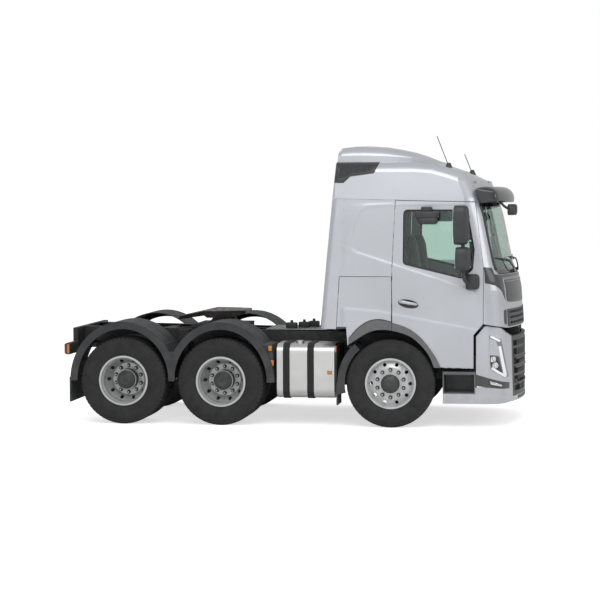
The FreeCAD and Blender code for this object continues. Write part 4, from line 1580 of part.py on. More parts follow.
def truck():
    parts, outer = cab_body()
    parts["cab_roof"], parts["roof_deflector"], parts["roof_vents"] = roof_parts(outer)
    parts.update(lower_front())
    parts.update(running_gear())
    fittings = door_fittings(outer)
    door_trim = arch_trim(DOOR_REAR_X + PANEL_GAP, TYRE_R * 2, outer)
    cab_trim = arch_trim(-2 * TYRE_R, DOOR_REAR_X, outer)
    parts["door_fittings_right"] = Part.Compound(fittings + [door_trim])
    parts["arch_trims"] = both_sides(cab_trim)
    for name in ("door", "door_glass", "door_fittings", "locker_lid"):
        parts[f"{name}_left"] = mirrored(parts[f"{name}_right"])
    parts["sun_visor"] = sun_visor(outer)
    parts["dashboard"], parts["seats"] = cab_inside()
    parts["aerials"] = aerials(parts["cab_roof"])
    parts["knuckle_right"] = knuckle()
    parts["knuckle_left"] = mirrored(parts["knuckle_right"])
    parts["track_rod"] = track_rod()
    parts["front_axle"] = front_axle()
    parts["frame_rails"] = frame_rails()
    parts["cross_members"] = cross_members()
    parts["suspension"] = suspension()
    parts["drive_axles"] = drive_axles()
    parts["engine"] = engine()
    parts["fuel_tank"] = fuel_tank()
    parts["tank_straps"] = tank_straps()
    parts["side_boxes"] = side_boxes()
    parts["mudguards"] = mudguards()
    parts["tail_lamps"] = tail_lamps()
    parts["fifth_wheel_base"] = fifth_wheel_base()
    parts["fifth_wheel_plate"] = fifth_wheel_plate()
    return parts


def main():
    os.makedirs("parts", exist_ok=True)
    middle = (FRONT_OVERHANG + TAIL_X) / 2
    for name, shape in truck().items():
        moved = shape.copy()
        moved.translate(vec(-middle, 0, 0))
        moved.exportStep(f"parts/{name}.step")


main()
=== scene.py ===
"""Looks of a three-axle tractor unit with a sleeper cab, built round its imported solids."""

import math

import bmesh
import bpy
import numpy as np
from mathutils import Matrix, Vector
from mathutils.bvhtree import BVHTree
from mathutils.geometry import delaunay_2d_cdt
from mathutils.kdtree import KDTree


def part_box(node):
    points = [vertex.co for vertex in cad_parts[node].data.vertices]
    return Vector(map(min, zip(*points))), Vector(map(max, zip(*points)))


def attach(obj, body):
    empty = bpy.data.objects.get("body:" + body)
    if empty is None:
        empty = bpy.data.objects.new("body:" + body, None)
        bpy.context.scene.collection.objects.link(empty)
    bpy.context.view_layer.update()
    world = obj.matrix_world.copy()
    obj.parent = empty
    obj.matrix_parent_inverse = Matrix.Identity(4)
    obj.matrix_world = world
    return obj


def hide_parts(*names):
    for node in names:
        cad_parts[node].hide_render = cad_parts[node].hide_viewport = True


bl_info = {
    "name": "Tractor Unit Builder",
    "version": (1, 0, 0),
    "blender": (4, 5, 0),
    "location": "View3D > Sidebar > Tractor unit",
    "description": "Dresses the packed solids of a three-axle tractor unit with finishes and fine pieces",
    "category": "Object",
}

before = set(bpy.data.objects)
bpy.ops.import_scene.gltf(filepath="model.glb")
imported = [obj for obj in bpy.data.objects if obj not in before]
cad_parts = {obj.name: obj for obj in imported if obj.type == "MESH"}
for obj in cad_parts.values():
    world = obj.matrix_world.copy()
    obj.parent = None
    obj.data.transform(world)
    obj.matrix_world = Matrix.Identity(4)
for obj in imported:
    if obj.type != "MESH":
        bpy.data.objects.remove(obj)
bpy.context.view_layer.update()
SIDES = (("right", -1), ("left", 1))
AXLES = ("front", "mid", "rear")
AXLE_Z = 0.538
HUB_X = {"front": 1.2545, "mid": -0.8455, "rear": -2.0755}
ARC_X = 1.6
ARC_R = 1.4
FINISHES = {}


# Meshes

def tool(name):
    """The settings of one group of pieces."""
    return getattr(bpy.context.scene, "tractor_" + name)


def new_object(name, mesh):
    piece = bpy.data.objects.new(name, mesh)
    bpy.context.scene.collection.objects.link(piece)
    return piece


def plain_mesh(piece):
    """Turns what the modifiers of a piece show into its own mesh, with no modifier left."""
    bpy.context.view_layer.update()
    graph = bpy.context.evaluated_depsgraph_get()
    mesh = bpy.data.meshes.new_from_object(piece.evaluated_get(graph), depsgraph=graph)
    if piece.type != "MESH":
        name = piece.name
        bpy.data.objects.remove(piece)
        return new_object(name, mesh)
    piece.modifiers.clear()
    piece.data = mesh
    return piece


def keep(piece, body, finish=None, smooth=30.0, replaces=()):
    """Finishes a piece: its material, its shading and the body that it rides on."""
    if finish:
        piece.data.materials.clear()
        piece.data.materials.append(FINISHES[finish])
    piece.data.shade_smooth()
    piece.data.set_sharp_from_angle(angle=math.radians(smooth))
    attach(piece, body)
    if replaces:
        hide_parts(*replaces)
    return piece


def made(name, work, body, finish, smooth=40.0, replaces=()):
    """A finished piece from a bmesh."""
    return keep(from_bmesh(name, work), body, finish, smooth, replaces)


def from_bmesh(name, work, outward=True):
    """A new object from a bmesh, its faces turned outwards if asked."""
    mesh = bpy.data.meshes.new(name)
    if outward:
        bmesh.ops.recalc_face_normals(work, faces=work.faces)
    work.to_mesh(mesh)
    work.free()
    return new_object(name, mesh)


def welded(node):
    """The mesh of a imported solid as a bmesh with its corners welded."""
    work = bmesh.new()
    work.from_mesh(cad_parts[node].data)
    bmesh.ops.remove_doubles(work, verts=work.verts, dist=1e-5)
    work.normal_update()
    return work


def bevel(piece, width, angle=32.0):
    """Rounds the sharp edges of a piece."""
    step = piece.modifiers.new("edge", "BEVEL")
    step.width = width
    step.segments = 2
    step.limit_method = "ANGLE"
    step.angle_limit = math.radians(angle)
    step.use_clamp_overlap = True
    return piece


def rounded_box(work, low, high, width=0.004, segments=2, turn=None):
    """Adds a box between two corners to a bmesh, with rounded edges, turned about its middle if asked."""
    size = Vector([abs(b - a) for a, b in zip(low, high)])
    middle = (Vector(low) + Vector(high)) / 2
    verts = bmesh.ops.create_cube(work, size=1.0)["verts"]
    matrix = Matrix.Translation(middle) @ (turn or Matrix.Identity(4)) @ Matrix.Diagonal((*size, 1.0))
    bmesh.ops.transform(work, matrix=matrix, verts=verts)
    edges = list(dict.fromkeys(edge for vert in verts for edge in vert.link_edges))
    if width:
        bmesh.ops.bevel(work, geom=edges, offset=width, segments=segments, profile=0.5, affect="EDGES",
                        clamp_overlap=True)


def rod(work, start, end, radius, far_radius=None, sides=16):
    """Adds a round bar between two points to a bmesh."""
    start, end = Vector(start), Vector(end)
    line = end - start
    matrix = Matrix.Translation((start + end) / 2) @ line.to_track_quat("Z", "Y").to_matrix().to_4x4()
    bmesh.ops.create_cone(work, cap_ends=True, cap_tris=False, segments=sides, radius1=radius,
                          radius2=radius if far_radius is None else far_radius, depth=line.length, matrix=matrix)


def ring_faces(work, rings, closed=False, ends=False):
    """Joins rings of corners with faces: round to the first where closed, with a face at both ends if asked."""
    for ring, after in zip(rings, rings[1:] + rings[:closed]):
        count = len(ring)
        for step in range(count):
            following = (step + 1) % count
            work.faces.new((ring[step], ring[following], after[following], after[step]))
    if ends:
        work.faces.new(rings[0])
        work.faces.new(rings[-1][::-1])


def angles(count):
    """Angles at an even pitch, once round."""
    return [2 * math.pi * step / count for step in range(count)]


def lathe(work, outline, middle, axis="Y", steps=64):
    """Adds a closed ring to a bmesh: (along, radius) points turned about an axis through middle."""
    rings = []
    middle = Vector(middle)
    for along, radius in outline:
        ring = []
        for turn in angles(steps):
            a, b = radius * math.cos(turn), radius * math.sin(turn)
            place = {"Y": (a, along, b), "Z": (a, b, along), "X": (along, a, b)}[axis]
            ring.append(work.verts.new(middle + Vector(place)))
        rings.append(ring)
    ring_faces(work, rings, closed=True)


def pipe(name, points, radius):
    """A smooth bent pipe through the given points."""
    curve = bpy.data.curves.new(name, "CURVE")
    curve.dimensions = "3D"
    curve.bevel_depth = radius
    curve.bevel_resolution = 3
    curve.use_fill_caps = True
    spline = curve.splines.new("NURBS")
    spline.points.add(len(points) - 1)
    for spot, point in zip(spline.points, points):
        spot.co = (*point, 1)
    spline.order_u = 3
    spline.use_endpoint_u = True
    spline.resolution_u = 6
    return plain_mesh(new_object(name, curve))


def joined(name, pieces):
    """Several meshes as one piece."""
    work = bmesh.new()
    for piece in pieces:
        work.from_mesh(piece.data)
        mesh = piece.data
        bpy.data.objects.remove(piece)
        bpy.data.meshes.remove(mesh)
    return from_bmesh(name, work, outward=False)


# Geometry Nodes

def add_node(tree, kind, links=(), **values):
    """Adds a node to a tree. links holds a socket or a value for each input named or numbered in it."""
    node = tree.nodes.new(kind)
    for key, value in values.items():
        setattr(node, key, value)
    for key, value in dict(links).items():
        if isinstance(value, bpy.types.NodeSocket):
            tree.links.new(value, node.inputs[key])
        else:
            node.inputs[key].default_value = value
    return node


def scattered(name, unit, spots, finish):
    """Copies of a small mesh at places with a direction each, made by a node group and realized.
    spots holds (place, direction that the unit's Z takes)."""
    carrier = bpy.data.meshes.new(name + "_spots")
    carrier.from_pydata([tuple(place) for place, _ in spots], [], [])
    way = carrier.attributes.new("way", "FLOAT_VECTOR", "POINT")
    way.data.foreach_set("vector", np.array([tuple(d) for _, d in spots], np.float32).ravel())
    tree = bpy.data.node_groups.new(name + "_repeat", "GeometryNodeTree")
    for label, kind in (("Geometry", "Geometry"), ("Unit", "Object"), ("Finish", "Material")):
        tree.interface.new_socket(label, in_out="INPUT", socket_type="NodeSocket" + kind)
    tree.interface.new_socket("Geometry", in_out="OUTPUT", socket_type="NodeSocketGeometry")
    source = add_node(tree, "NodeGroupInput").outputs
    heading = add_node(tree, "GeometryNodeInputNamedAttribute", {"Name": "way"}, data_type="FLOAT_VECTOR")
    turn = add_node(tree, "FunctionNodeAlignRotationToVector", {"Vector": heading.outputs[0]}, axis="Z")
    unit_info = add_node(tree, "GeometryNodeObjectInfo", {"Object": source["Unit"]})
    copies = add_node(tree, "GeometryNodeInstanceOnPoints", {
        "Points": source["Geometry"], "Instance": unit_info.outputs["Geometry"], "Rotation": turn.outputs[0]})
    real = add_node(tree, "GeometryNodeRealizeInstances", {"Geometry": copies.outputs[0]})
    painted = add_node(tree, "GeometryNodeSetMaterial", {
        "Geometry": real.outputs[0], "Material": source["Finish"]})
    add_node(tree, "NodeGroupOutput", {"Geometry": painted.outputs[0]})
    piece = new_object(name, carrier)
    step = piece.modifiers.new("repeat", "NODES")
    step.node_group = tree
    given = {"Unit": unit, "Finish": FINISHES[finish]}
    for item in tree.interface.items_tree:
        if item.in_out == "INPUT" and item.name in given:
            step[item.identifier] = given[item.name]
    piece = plain_mesh(piece)
    mesh = unit.data
    bpy.data.objects.remove(unit)
    bpy.data.meshes.remove(mesh)
    bpy.data.meshes.remove(carrier)
    return piece


def hex_unit(name, radius, height, washer=0.0):
    """A hexagon nut on its washer, its seat at the origin and standing along Z."""
    work = bmesh.new()
    if washer:
        rod(work, (0, 0, 0), (0, 0, height * 0.15), washer, sides=20)
    rod(work, (0, 0, 0), (0, 0, height * 0.85), radius, sides=6)
    rod(work, (0, 0, height * 0.85), (0, 0, height), radius, radius * 0.86, sides=6)
    return from_bmesh(name, work)


# Finishes

class Finish:
    """One procedural material whose patterns follow the piece's own coordinates, in metres."""

    def __init__(self, name, color, rough, metal=0.0, **sockets):
        self.material = bpy.data.materials.new(name)
        self.material.use_nodes = True
        self.tree = self.material.node_tree
        self.shader = self.tree.nodes["Principled BSDF"]
        self.color = tuple(color)[:3]
        self.set("Base Color", (*self.color, 1.0))
        self.set("Roughness", rough)
        self.set("Metallic", metal)
        for socket, value in sockets.items():
            self.set(socket.replace("_", " "), value)
        self.coordinates = self.node("ShaderNodeTexCoord").outputs["Object"]
        self.material.diffuse_color = (*self.color, 1.0)
        FINISHES[name] = self.material

    def set(self, socket, value):
        self.shader.inputs[socket].default_value = value

    def node(self, kind, links=(), **values):
        return add_node(self.tree, kind, links, **values)

    def link(self, value, socket):
        self.tree.links.new(value, self.shader.inputs[socket])

    def place(self, stretch=(1, 1, 1)):
        return self.node("ShaderNodeMapping", {"Vector": self.coordinates, "Scale": stretch}).outputs[0]

    def noise(self, scale, detail=3.0, stretch=(1, 1, 1), rough=0.5):
        return self.node("ShaderNodeTexNoise", {"Vector": self.place(stretch), "Scale": scale, "Detail": detail,
                                                "Roughness": rough}).outputs["Fac"]

    def cells(self, scale, stretch=(1, 1, 1), output="Distance"):
        return self.node("ShaderNodeTexVoronoi", {"Vector": self.place(stretch), "Scale": scale}).outputs[output]

    def between(self, value, low, high, start=0.0, end=1.0):
        return self.node("ShaderNodeMapRange", {"Value": value, "From Min": low, "From Max": high,
                                                "To Min": start, "To Max": end}).outputs[0]

    def times(self, first, second, operation="MULTIPLY"):
        return self.node("ShaderNodeMath", {0: first, 1: second}, operation=operation).outputs[0]

    def height(self, low, high, ragged=0.0, scale=3.0):
        """1 at and under a height above the ground, 0 over another, with a ragged edge."""
        z = self.node("ShaderNodeSeparateXYZ", {"Vector": self.coordinates}).outputs["Z"]
        if ragged:
            z = self.times(z, self.between(self.noise(scale, 4.0), 0.3, 0.7, -ragged, ragged), "ADD")
        return self.between(z, low, high, 1.0, 0.0)

    def tint(self, other, mask):
        """Mixes another colour in where mask is 1."""
        mix = self.node("ShaderNodeMix", {"Factor": mask}, data_type="RGBA")
        base = self.shader.inputs["Base Color"]
        if base.is_linked:
            self.tree.links.new(base.links[0].from_socket, mix.inputs["A"])
        else:
            mix.inputs["A"].default_value = (*self.color, 1.0)
        mix.inputs["B"].default_value = (*other, 1.0)
        self.link(mix.outputs["Result"], "Base Color")
        return self

    def vary(self, scale, amount, detail=3.0, stretch=(1, 1, 1)):
        """Slightly lighter and darker patches."""
        dark = [c * (1 - amount) for c in self.color]
        return self.tint(dark, self.between(self.noise(scale, detail, stretch), 0.35, 0.65))

    def roughen(self, mask, low, high):
        self.link(self.between(mask, 0.3, 0.7, low, high), "Roughness")
        return self

    def bump(self, height, strength, distance):
        normal = self.node("ShaderNodeBump", {"Height": height, "Strength": strength, "Distance": distance})
        before = self.shader.inputs["Normal"]
        if before.is_linked:
            self.tree.links.new(before.links[0].from_socket, normal.inputs["Normal"])
        self.link(normal.outputs[0], "Normal")
        return self

    def dust(self, amount, low, high, color=(0.23, 0.21, 0.19), scale=9.0):
        """Road dust that thickens towards the ground."""
        mask = self.times(self.height(low, high, 0.12), self.between(self.noise(scale, 6.0), 0.35, 0.75))
        return self.tint(color, self.times(mask, amount))


class FinishSettings(bpy.types.PropertyGroup):
    """Colours of the paint, the plastics and the metals."""

    paint: bpy.props.FloatVectorProperty(name="Paint", description="Colour of the cab's metallic paint", size=3,
                                         default=(0.545, 0.563, 0.607), min=0, max=1, subtype="COLOR")
    flare: bpy.props.FloatVectorProperty(name="Flares", description="Colour of the wheel arch flares and steps",
                                         size=3, default=(0.145, 0.15, 0.157), min=0, max=1, subtype="COLOR")
    trim: bpy.props.FloatVectorProperty(name="Trim", description="Colour of the dark moulded plastic", size=3,
                                        default=(0.045, 0.047, 0.05), min=0, max=1, subtype="COLOR")
    glass: bpy.props.FloatVectorProperty(name="Glass", description="Tint of the panes", size=3,
                                         default=(0.60, 0.74, 0.68), min=0, max=1, subtype="COLOR")
    wheel: bpy.props.FloatVectorProperty(name="Wheels", description="Colour of the painted wheels", size=3,
                                         default=(0.60, 0.605, 0.61), min=0, max=1, subtype="COLOR")
    dirt: bpy.props.FloatProperty(name="Road dust", description="How much dust lies on the low pieces",
                                  default=0.55, min=0, max=1, subtype="FACTOR")


class TRACTOR_OT_finishes(bpy.types.Operator):
    """Make every material: paint, plastics, rubber, metals, glass and cloth"""

    bl_idname = "tractor.finishes"
    bl_label = "Finishes"

    def execute(self, context):
        look = tool("finish")
        dirt = look.dirt
        paint = Finish("silver_paint", look.paint, 0.34, 0.35, Coat_Weight=1.0, Coat_Roughness=0.06)
        paint.tint([c * 0.93 for c in look.paint], paint.between(paint.noise(1.3, 2.0), 0.35, 0.65))
        paint.dust(dirt * 0.45, 0.35, 0.95)
        paint.bump(paint.cells(2600.0, output="Color"), 0.025, 0.0004)
        flare = Finish("flare_plastic", look.flare, 0.52, Specular_IOR_Level=0.45)
        flare.vary(14.0, 0.12).dust(dirt * 0.6, 0.35, 1.3)
        flare.bump(flare.noise(900.0, 2.0), 0.12, 0.0006)
        trim = Finish("trim_plastic", look.trim, 0.46, Specular_IOR_Level=0.5)
        trim.vary(8.0, 0.2).dust(dirt * 0.4, 0.35, 1.2)
        trim.bump(trim.noise(1100.0, 2.0), 0.14, 0.0005)
        guard = Finish("guard_plastic", (0.038, 0.04, 0.043), 0.62)
        guard.vary(5.0, 0.25, 4.0).dust(dirt * 0.9, 0.2, 1.35, (0.15, 0.145, 0.14))
        guard.bump(guard.noise(700.0, 2.0), 0.2, 0.0008).roughen(guard.noise(11.0, 4.0), 0.5, 0.75)
        gloss = Finish("gloss_black", (0.012, 0.012, 0.014), 0.12, Coat_Weight=0.6)
        gloss.roughen(gloss.noise(30.0, 3.0), 0.1, 0.2)
        visor = Finish("visor_smoke", (0.028, 0.03, 0.034), 0.17, Coat_Weight=0.5)
        visor.roughen(visor.noise(20.0, 3.0), 0.14, 0.24)
        seal = Finish("seal_rubber", (0.012, 0.012, 0.013), 0.68)
        seal.vary(60.0, 0.3).bump(seal.noise(800.0), 0.12, 0.0004)
        glass = Finish("pane_glass", look.glass, 0.0, Transmission_Weight=1.0, IOR=1.45)
        glass.roughen(glass.noise(6.0, 4.0), 0.0, 0.018)
        mirror = Finish("mirror_glass", (0.85, 0.87, 0.88), 0.03, 1.0)
        mirror.roughen(mirror.noise(12.0), 0.02, 0.05)
        rubber = Finish("tyre_rubber", (0.026, 0.026, 0.027), 0.72, Specular_IOR_Level=0.35)
        rubber.vary(7.0, 0.2, 5.0).dust(dirt * 0.5, -0.1, 1.2, (0.075, 0.072, 0.068), 13.0)
        rubber.bump(rubber.noise(420.0, 4.0), 0.22, 0.0007).roughen(rubber.noise(9.0, 4.0), 0.62, 0.82)
        wheel = Finish("wheel_paint", look.wheel, 0.36, 0.45, Coat_Weight=0.35, Coat_Roughness=0.12)
        wheel.vary(10.0, 0.08).dust(dirt * 0.3, 0.0, 1.2, (0.3, 0.28, 0.26), 24.0)
        wheel.roughen(wheel.noise(26.0, 4.0), 0.3, 0.46)
        steel = Finish("bright_steel", (0.55, 0.55, 0.54), 0.32, 0.95)
        steel.vary(40.0, 0.2).roughen(steel.noise(60.0, 4.0), 0.24, 0.45)
        tank = Finish("tank_aluminium", (0.72, 0.72, 0.715), 0.3, 0.92)
        brushed = tank.noise(60.0, 6.0, (60.0, 1.0, 1.0), 0.65)
        tank.vary(3.0, 0.1).dust(dirt * 0.35, 0.3, 0.9, (0.35, 0.33, 0.31))
        tank.roughen(brushed, 0.24, 0.42).bump(brushed, 0.05, 0.0004)
        frame_paint = Finish("frame_paint", (0.022, 0.022, 0.024), 0.42, Specular_IOR_Level=0.5)
        frame_paint.vary(6.0, 0.3, 4.0).dust(dirt * 0.8, 0.2, 1.6, (0.09, 0.085, 0.08))
        frame_paint.bump(frame_paint.noise(90.0, 3.0), 0.1, 0.0008)
        frame_paint.roughen(frame_paint.noise(14.0, 4.0), 0.36, 0.62)
        cast = Finish("cast_iron", (0.055, 0.053, 0.052), 0.62, 0.35)
        cast.vary(9.0, 0.35, 5.0).dust(dirt * 0.7, 0.1, 1.6, (0.11, 0.1, 0.09))
        cast.bump(cast.noise(260.0, 4.0), 0.4, 0.0012)
        engine = Finish("engine_paint", (0.085, 0.1, 0.095), 0.5, 0.2)
        engine.vary(6.0, 0.3, 5.0).bump(engine.noise(180.0, 4.0), 0.3, 0.001)
        grease = Finish("greased_steel", (0.032, 0.03, 0.028), 0.3, 0.6)
        grease.vary(11.0, 0.45, 6.0).roughen(grease.noise(17.0, 5.0), 0.14, 0.55)
        grease.bump(grease.noise(35.0, 6.0), 0.3, 0.002)
        cloth = Finish("seat_cloth", (0.06, 0.065, 0.068), 0.85, Sheen_Weight=0.4, Sheen_Roughness=0.5)
        weave = cloth.node("ShaderNodeTexWave", {"Vector": cloth.place(), "Scale": 240.0, "Distortion": 1.5},
                           wave_type="BANDS").outputs["Fac"]
        cloth.tint((0.11, 0.115, 0.12), weave).bump(weave, 0.3, 0.0006)
        bedding = Finish("mattress_cloth", (0.33, 0.34, 0.34), 0.9, Sheen_Weight=0.3)
        bedding.vary(18.0, 0.15).bump(bedding.cells(55.0), 0.5, 0.004)
        inside = Finish("cabin_trim", (0.16, 0.175, 0.168), 0.72)
        inside.vary(5.0, 0.12).bump(inside.noise(520.0, 3.0), 0.22, 0.0008)
        dash = Finish("dash_plastic", (0.05, 0.053, 0.053), 0.6)
        dash.vary(8.0, 0.15).bump(dash.cells(700.0), 0.15, 0.0006)
        red = Finish("red_lens", (0.42, 0.008, 0.006), 0.1, Coat_Weight=0.7, Transmission_Weight=0.15)
        amber = Finish("amber_lens", (0.78, 0.24, 0.012), 0.12, Coat_Weight=0.7, Transmission_Weight=0.15)
        for lens in (red, amber):
            ribs = lens.node("ShaderNodeTexWave", {"Vector": lens.place(), "Scale": 60.0}).outputs["Fac"]
            lens.bump(ribs, 0.25, 0.001)
        glow = Finish("daylight_strip", (0.86, 0.89, 0.92), 0.2, Coat_Weight=0.8, Emission_Color=(1, 1, 1, 1),
                      Emission_Strength=0.08)
        glow.bump(glow.cells(160.0), 0.1, 0.001)
        mesh = Finish("vent_mesh", (0.01, 0.01, 0.011), 0.6)
        holes = mesh.cells(95.0)
        mesh.tint((0.05, 0.052, 0.055), mesh.between(holes, 0.35, 0.55)).bump(holes, 0.8, 0.006)
        panel = Finish("panel_black", (0.045, 0.047, 0.05), 0.27, Coat_Weight=0.35, Coat_Roughness=0.1)
        panel.vary(3.0, 0.05).roughen(panel.noise(16.0, 3.0), 0.24, 0.34)
        grille = Finish("grille_plastic", (0.066, 0.068, 0.07), 0.44, Specular_IOR_Level=0.5)
        grille.vary(9.0, 0.15).dust(dirt * 0.4, 0.3, 1.2)
        grille.bump(grille.noise(950.0, 2.0), 0.12, 0.0005)
        dish = Finish("lamp_reflector", (0.78, 0.79, 0.8), 0.14, 0.85, Coat_Weight=1.0, Coat_Roughness=0.03)
        dish.bump(dish.cells(120.0), 0.35, 0.002)
        body = Finish("lamp_body", (0.33, 0.34, 0.355), 0.2, 0.55, Coat_Weight=1.0, Coat_Roughness=0.03)
        body.vary(40.0, 0.3).bump(body.cells(70.0), 0.15, 0.002)
        plate = Finish("tread_plate", (0.34, 0.345, 0.35), 0.36, 0.85)
        plate.vary(12.0, 0.25, 5.0).roughen(plate.noise(25.0, 4.0), 0.28, 0.5)
        return {"FINISHED"}


# Wheels and tyres

class TyreSettings(bpy.types.PropertyGroup):
    """Tread of the road tyres."""

    groove: bpy.props.FloatProperty(name="Groove depth", description="Depth of the grooves round the tread",
                                    default=0.013, min=0, unit="LENGTH")
    groove_width: bpy.props.FloatProperty(name="Groove width", description="Width of a groove round the tread",
                                          default=0.011, min=0.002, unit="LENGTH")
    notch: bpy.props.FloatProperty(name="Shoulder notch", description="Depth of the cuts across the shoulders",
                                   default=0.009, min=0, unit="LENGTH")
    blocks: bpy.props.IntProperty(name="Blocks", description="Blocks round a tyre's shoulder", default=62, min=20)


def tyre_outline(settings):
    """(across, radius, cut share) points of one tyre, from bead to bead over the tread."""
    wall = [(0.118, 0.296, 0), (0.118, 0.3103, 0), (0.123, 0.3125, 0), (0.1255, 0.320, 0), (0.1235, 0.3245, 0),
            (0.131, 0.336, 0), (0.1405, 0.360, 0), (0.1475, 0.392, 0), (0.1497, 0.425, 0), (0.1475, 0.458, 0),
            (0.1455, 0.468, 0), (0.1466, 0.4705, 0), (0.1455, 0.4735, 0), (0.1435, 0.4755, 0), (0.139, 0.497, 0),
            (0.135, 0.512, 0.3), (0.131, 0.523, 1), (0.1265, 0.5335, 1), (0.1215, 0.5365, 1)]
    half = settings.groove_width / 2
    tread = [(0.100, 0.5372, 1)]
    for middle, top, cut in ((0.083, 0.5376, 0.35), (0.030, 0.538, 0.15)):
        floor = top - settings.groove
        tread += [(middle + half, top, cut), (middle + half * 0.55, floor, 0), (middle - half * 0.55, floor, 0),
                  (middle - half, top, 0.15)]
    right = wall + tread
    return [(-y, r, cut) for y, r, cut in right] + [(y, r, cut) for y, r, cut in reversed(right)]


def tyre_mesh(work, middle, settings, drive):
    """Adds one tyre about a level axis: blocks are cut across where the outline lets them be."""
    outline = tyre_outline(settings)
    marks = (0.0, 0.2, 0.26, 0.94)
    turns = [2 * math.pi * (block + mark) / settings.blocks for block in range(settings.blocks) for mark in marks]
    depths = [1.0, 1.0, 0.0, 0.0] * settings.blocks
    rings = []
    for across, radius, share in outline:
        share = share if not drive else min(1.0, share * 2.2)
        ring = []
        for turn, depth in zip(turns, depths):
            skew = across * 0.9 if share else 0.0
            r = radius - settings.notch * share * depth * (1.25 if drive else 0.8)
            angle = turn + skew
            ring.append(work.verts.new((middle[0] + r * math.cos(angle), middle[1] + across,
                                        middle[2] + r * math.sin(angle))))
        rings.append(ring)
    ring_faces(work, rings, closed=True)


class TRACTOR_OT_tyres(bpy.types.Operator):
    """Road tyres with grooves round them and blocks across their shoulders"""

    bl_idname = "tractor.tyres"
    bl_label = "Tyres"

    def execute(self, context):
        settings = tool("tyre")
        low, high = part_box("tyre_front_right")
        width = high.y - low.y
        for axle in AXLES:
            for side, _ in SIDES:
                node = f"tyre_{axle}_{side}"
                low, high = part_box(node)
                work = bmesh.new()
                places = {low.y + width / 2, high.y - width / 2} if axle != "front" else {(low.y + high.y) / 2}
                for y in sorted(places):
                    tyre_mesh(work, (HUB_X[axle], y, AXLE_Z), settings, axle != "front")
                made(f"tread_{axle}_{side}", work, f"wheel_{axle}_{side}", "tyre_rubber",
                     42.0, [node])
        return {"FINISHED"}


class WheelSettings(bpy.types.PropertyGroup):
    """Nuts and hubs."""

    nut_circle: bpy.props.FloatProperty(name="Nut circle", description="Radius of the circle of wheel nuts",
                                        default=0.1675, min=0.05, unit="LENGTH")
    hub_bolts: bpy.props.IntProperty(name="Hub bolts", description="Bolts round a hub's face", default=10, min=3)


DRIVE_HUB_Y = 1.067
DISC_FACE_Y = {"front": 1.208, "mid": 0.946, "rear": 0.946}
HUB_BOLT_CIRCLE = 0.101
WHEEL_NUTS = 10


def circle(x, y, radius, count, start, out):
    """Places round a wheel's axis, each with the direction outwards."""
    turns = [start + turn for turn in angles(count)]
    return [((x + radius * math.cos(turn), y, AXLE_Z + radius * math.sin(turn)), (0, out, 0)) for turn in turns]


def hub_cap(work, axle, x, face, out):
    """Adds the ribbed black cover of a hub, its seat at face and standing out along out."""
    drive = axle != "front"
    depth = 0.052 if drive else 0.026
    outline = [(0, 0.116), (0.35, 0.116), (0.52, 0.109), (0.62, 0.092), (0.78, 0.088), (0.86, 0.070),
               (1.0, 0.064), (1.0, 0.030), (0.86, 0.026), (0.86, 0.002), (0, 0.002)]
    lathe(work, [(out * depth * along, radius) for along, radius in outline], (x, face, AXLE_Z), steps=48)


class TRACTOR_OT_wheels(bpy.types.Operator):
    """Nuts on their washers, studs, black hubs with their bolts, and valves on the painted disc wheels"""

    bl_idname = "tractor.wheels"
    bl_label = "Wheels"

    def execute(self, context):
        settings = tool("wheel")
        for axle in AXLES:
            for side, out in SIDES:
                self.wheel(settings, axle, side, out)
        return {"FINISHED"}

    def wheel(self, settings, axle, side, out):
        body = f"wheel_{axle}_{side}"
        x = HUB_X[axle]
        drive = axle != "front"
        hub_y = out * DRIVE_HUB_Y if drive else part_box(body)[out > 0].y
        face = out * DISC_FACE_Y[axle]
        work = bmesh.new()
        hub_cap(work, axle, x, hub_y - out * 0.002, out)
        if drive:
            near = face - hub_y + out * 0.001
            lathe(work, [(0, 0.1262), (0, 0.1275), (near * 0.12, 0.1290), (near, 0.1290), (near, 0.1262)],
                  (x, hub_y, AXLE_Z), steps=48)
        made(f"hub_cap_{axle}_{side}", work, body, "trim_plastic")
        count = settings.hub_bolts
        spots = circle(x, hub_y + out * 0.012, HUB_BOLT_CIRCLE, count, math.pi / count, out)
        bolts = scattered(f"hub_bolts_{axle}_{side}", hex_unit("hub_bolt", 0.009, 0.012), spots, "cast_iron")
        keep(bolts, body)
        ring = circle(x, face, settings.nut_circle, WHEEL_NUTS, math.pi / 2, out)
        nuts = scattered(f"wheel_nuts_{axle}_{side}", hex_unit("nut", 0.0202, 0.0285, 0.025), ring, "cast_iron")
        keep(nuts, body)
        stud = bmesh.new()
        rod(stud, (0, 0, 0.02), (0, 0, 0.036), 0.0112, 0.0102, 14)
        studs = scattered(f"wheel_studs_{axle}_{side}", from_bmesh("stud", stud), ring, "bright_steel")
        keep(studs, body)
        turn = math.radians(54)
        stem = [(x + r * math.cos(turn), face + out * reach, AXLE_Z + r * math.sin(turn))
                for r, reach in ((0.236, -0.02), (0.240, 0.02), (0.248, 0.05), (0.250, 0.085))]
        keep(pipe(f"valve_{axle}_{side}", stem, 0.0045), body, "bright_steel", 40.0)


# Doors and glass

def shell_tree(*nodes):
    """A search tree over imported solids, to find their skin."""
    verts, faces = [], []
    for node in nodes:
        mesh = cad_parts[node].data
        first = len(verts)
        verts += [tuple(vert.co) for vert in mesh.vertices]
        faces += [tuple(first + corner for corner in face.vertices) for face in mesh.polygons]
    return BVHTree.FromPolygons(verts, faces)


def met(tree, start, way):
    """Where a line meets a skin, and the skin's normal there."""
    place, normal, _, _ = tree.ray_cast(Vector(start), Vector(way))
    if place is None:
        raise RuntimeError(f"no skin on the line from {tuple(start)}")
    return place, normal


def side_skin(tree, x, z, out):
    """Where a side's skin is met from outside at a place along and up the truck."""
    return met(tree, (x, out * 3.0, z), (0, -out, 0))


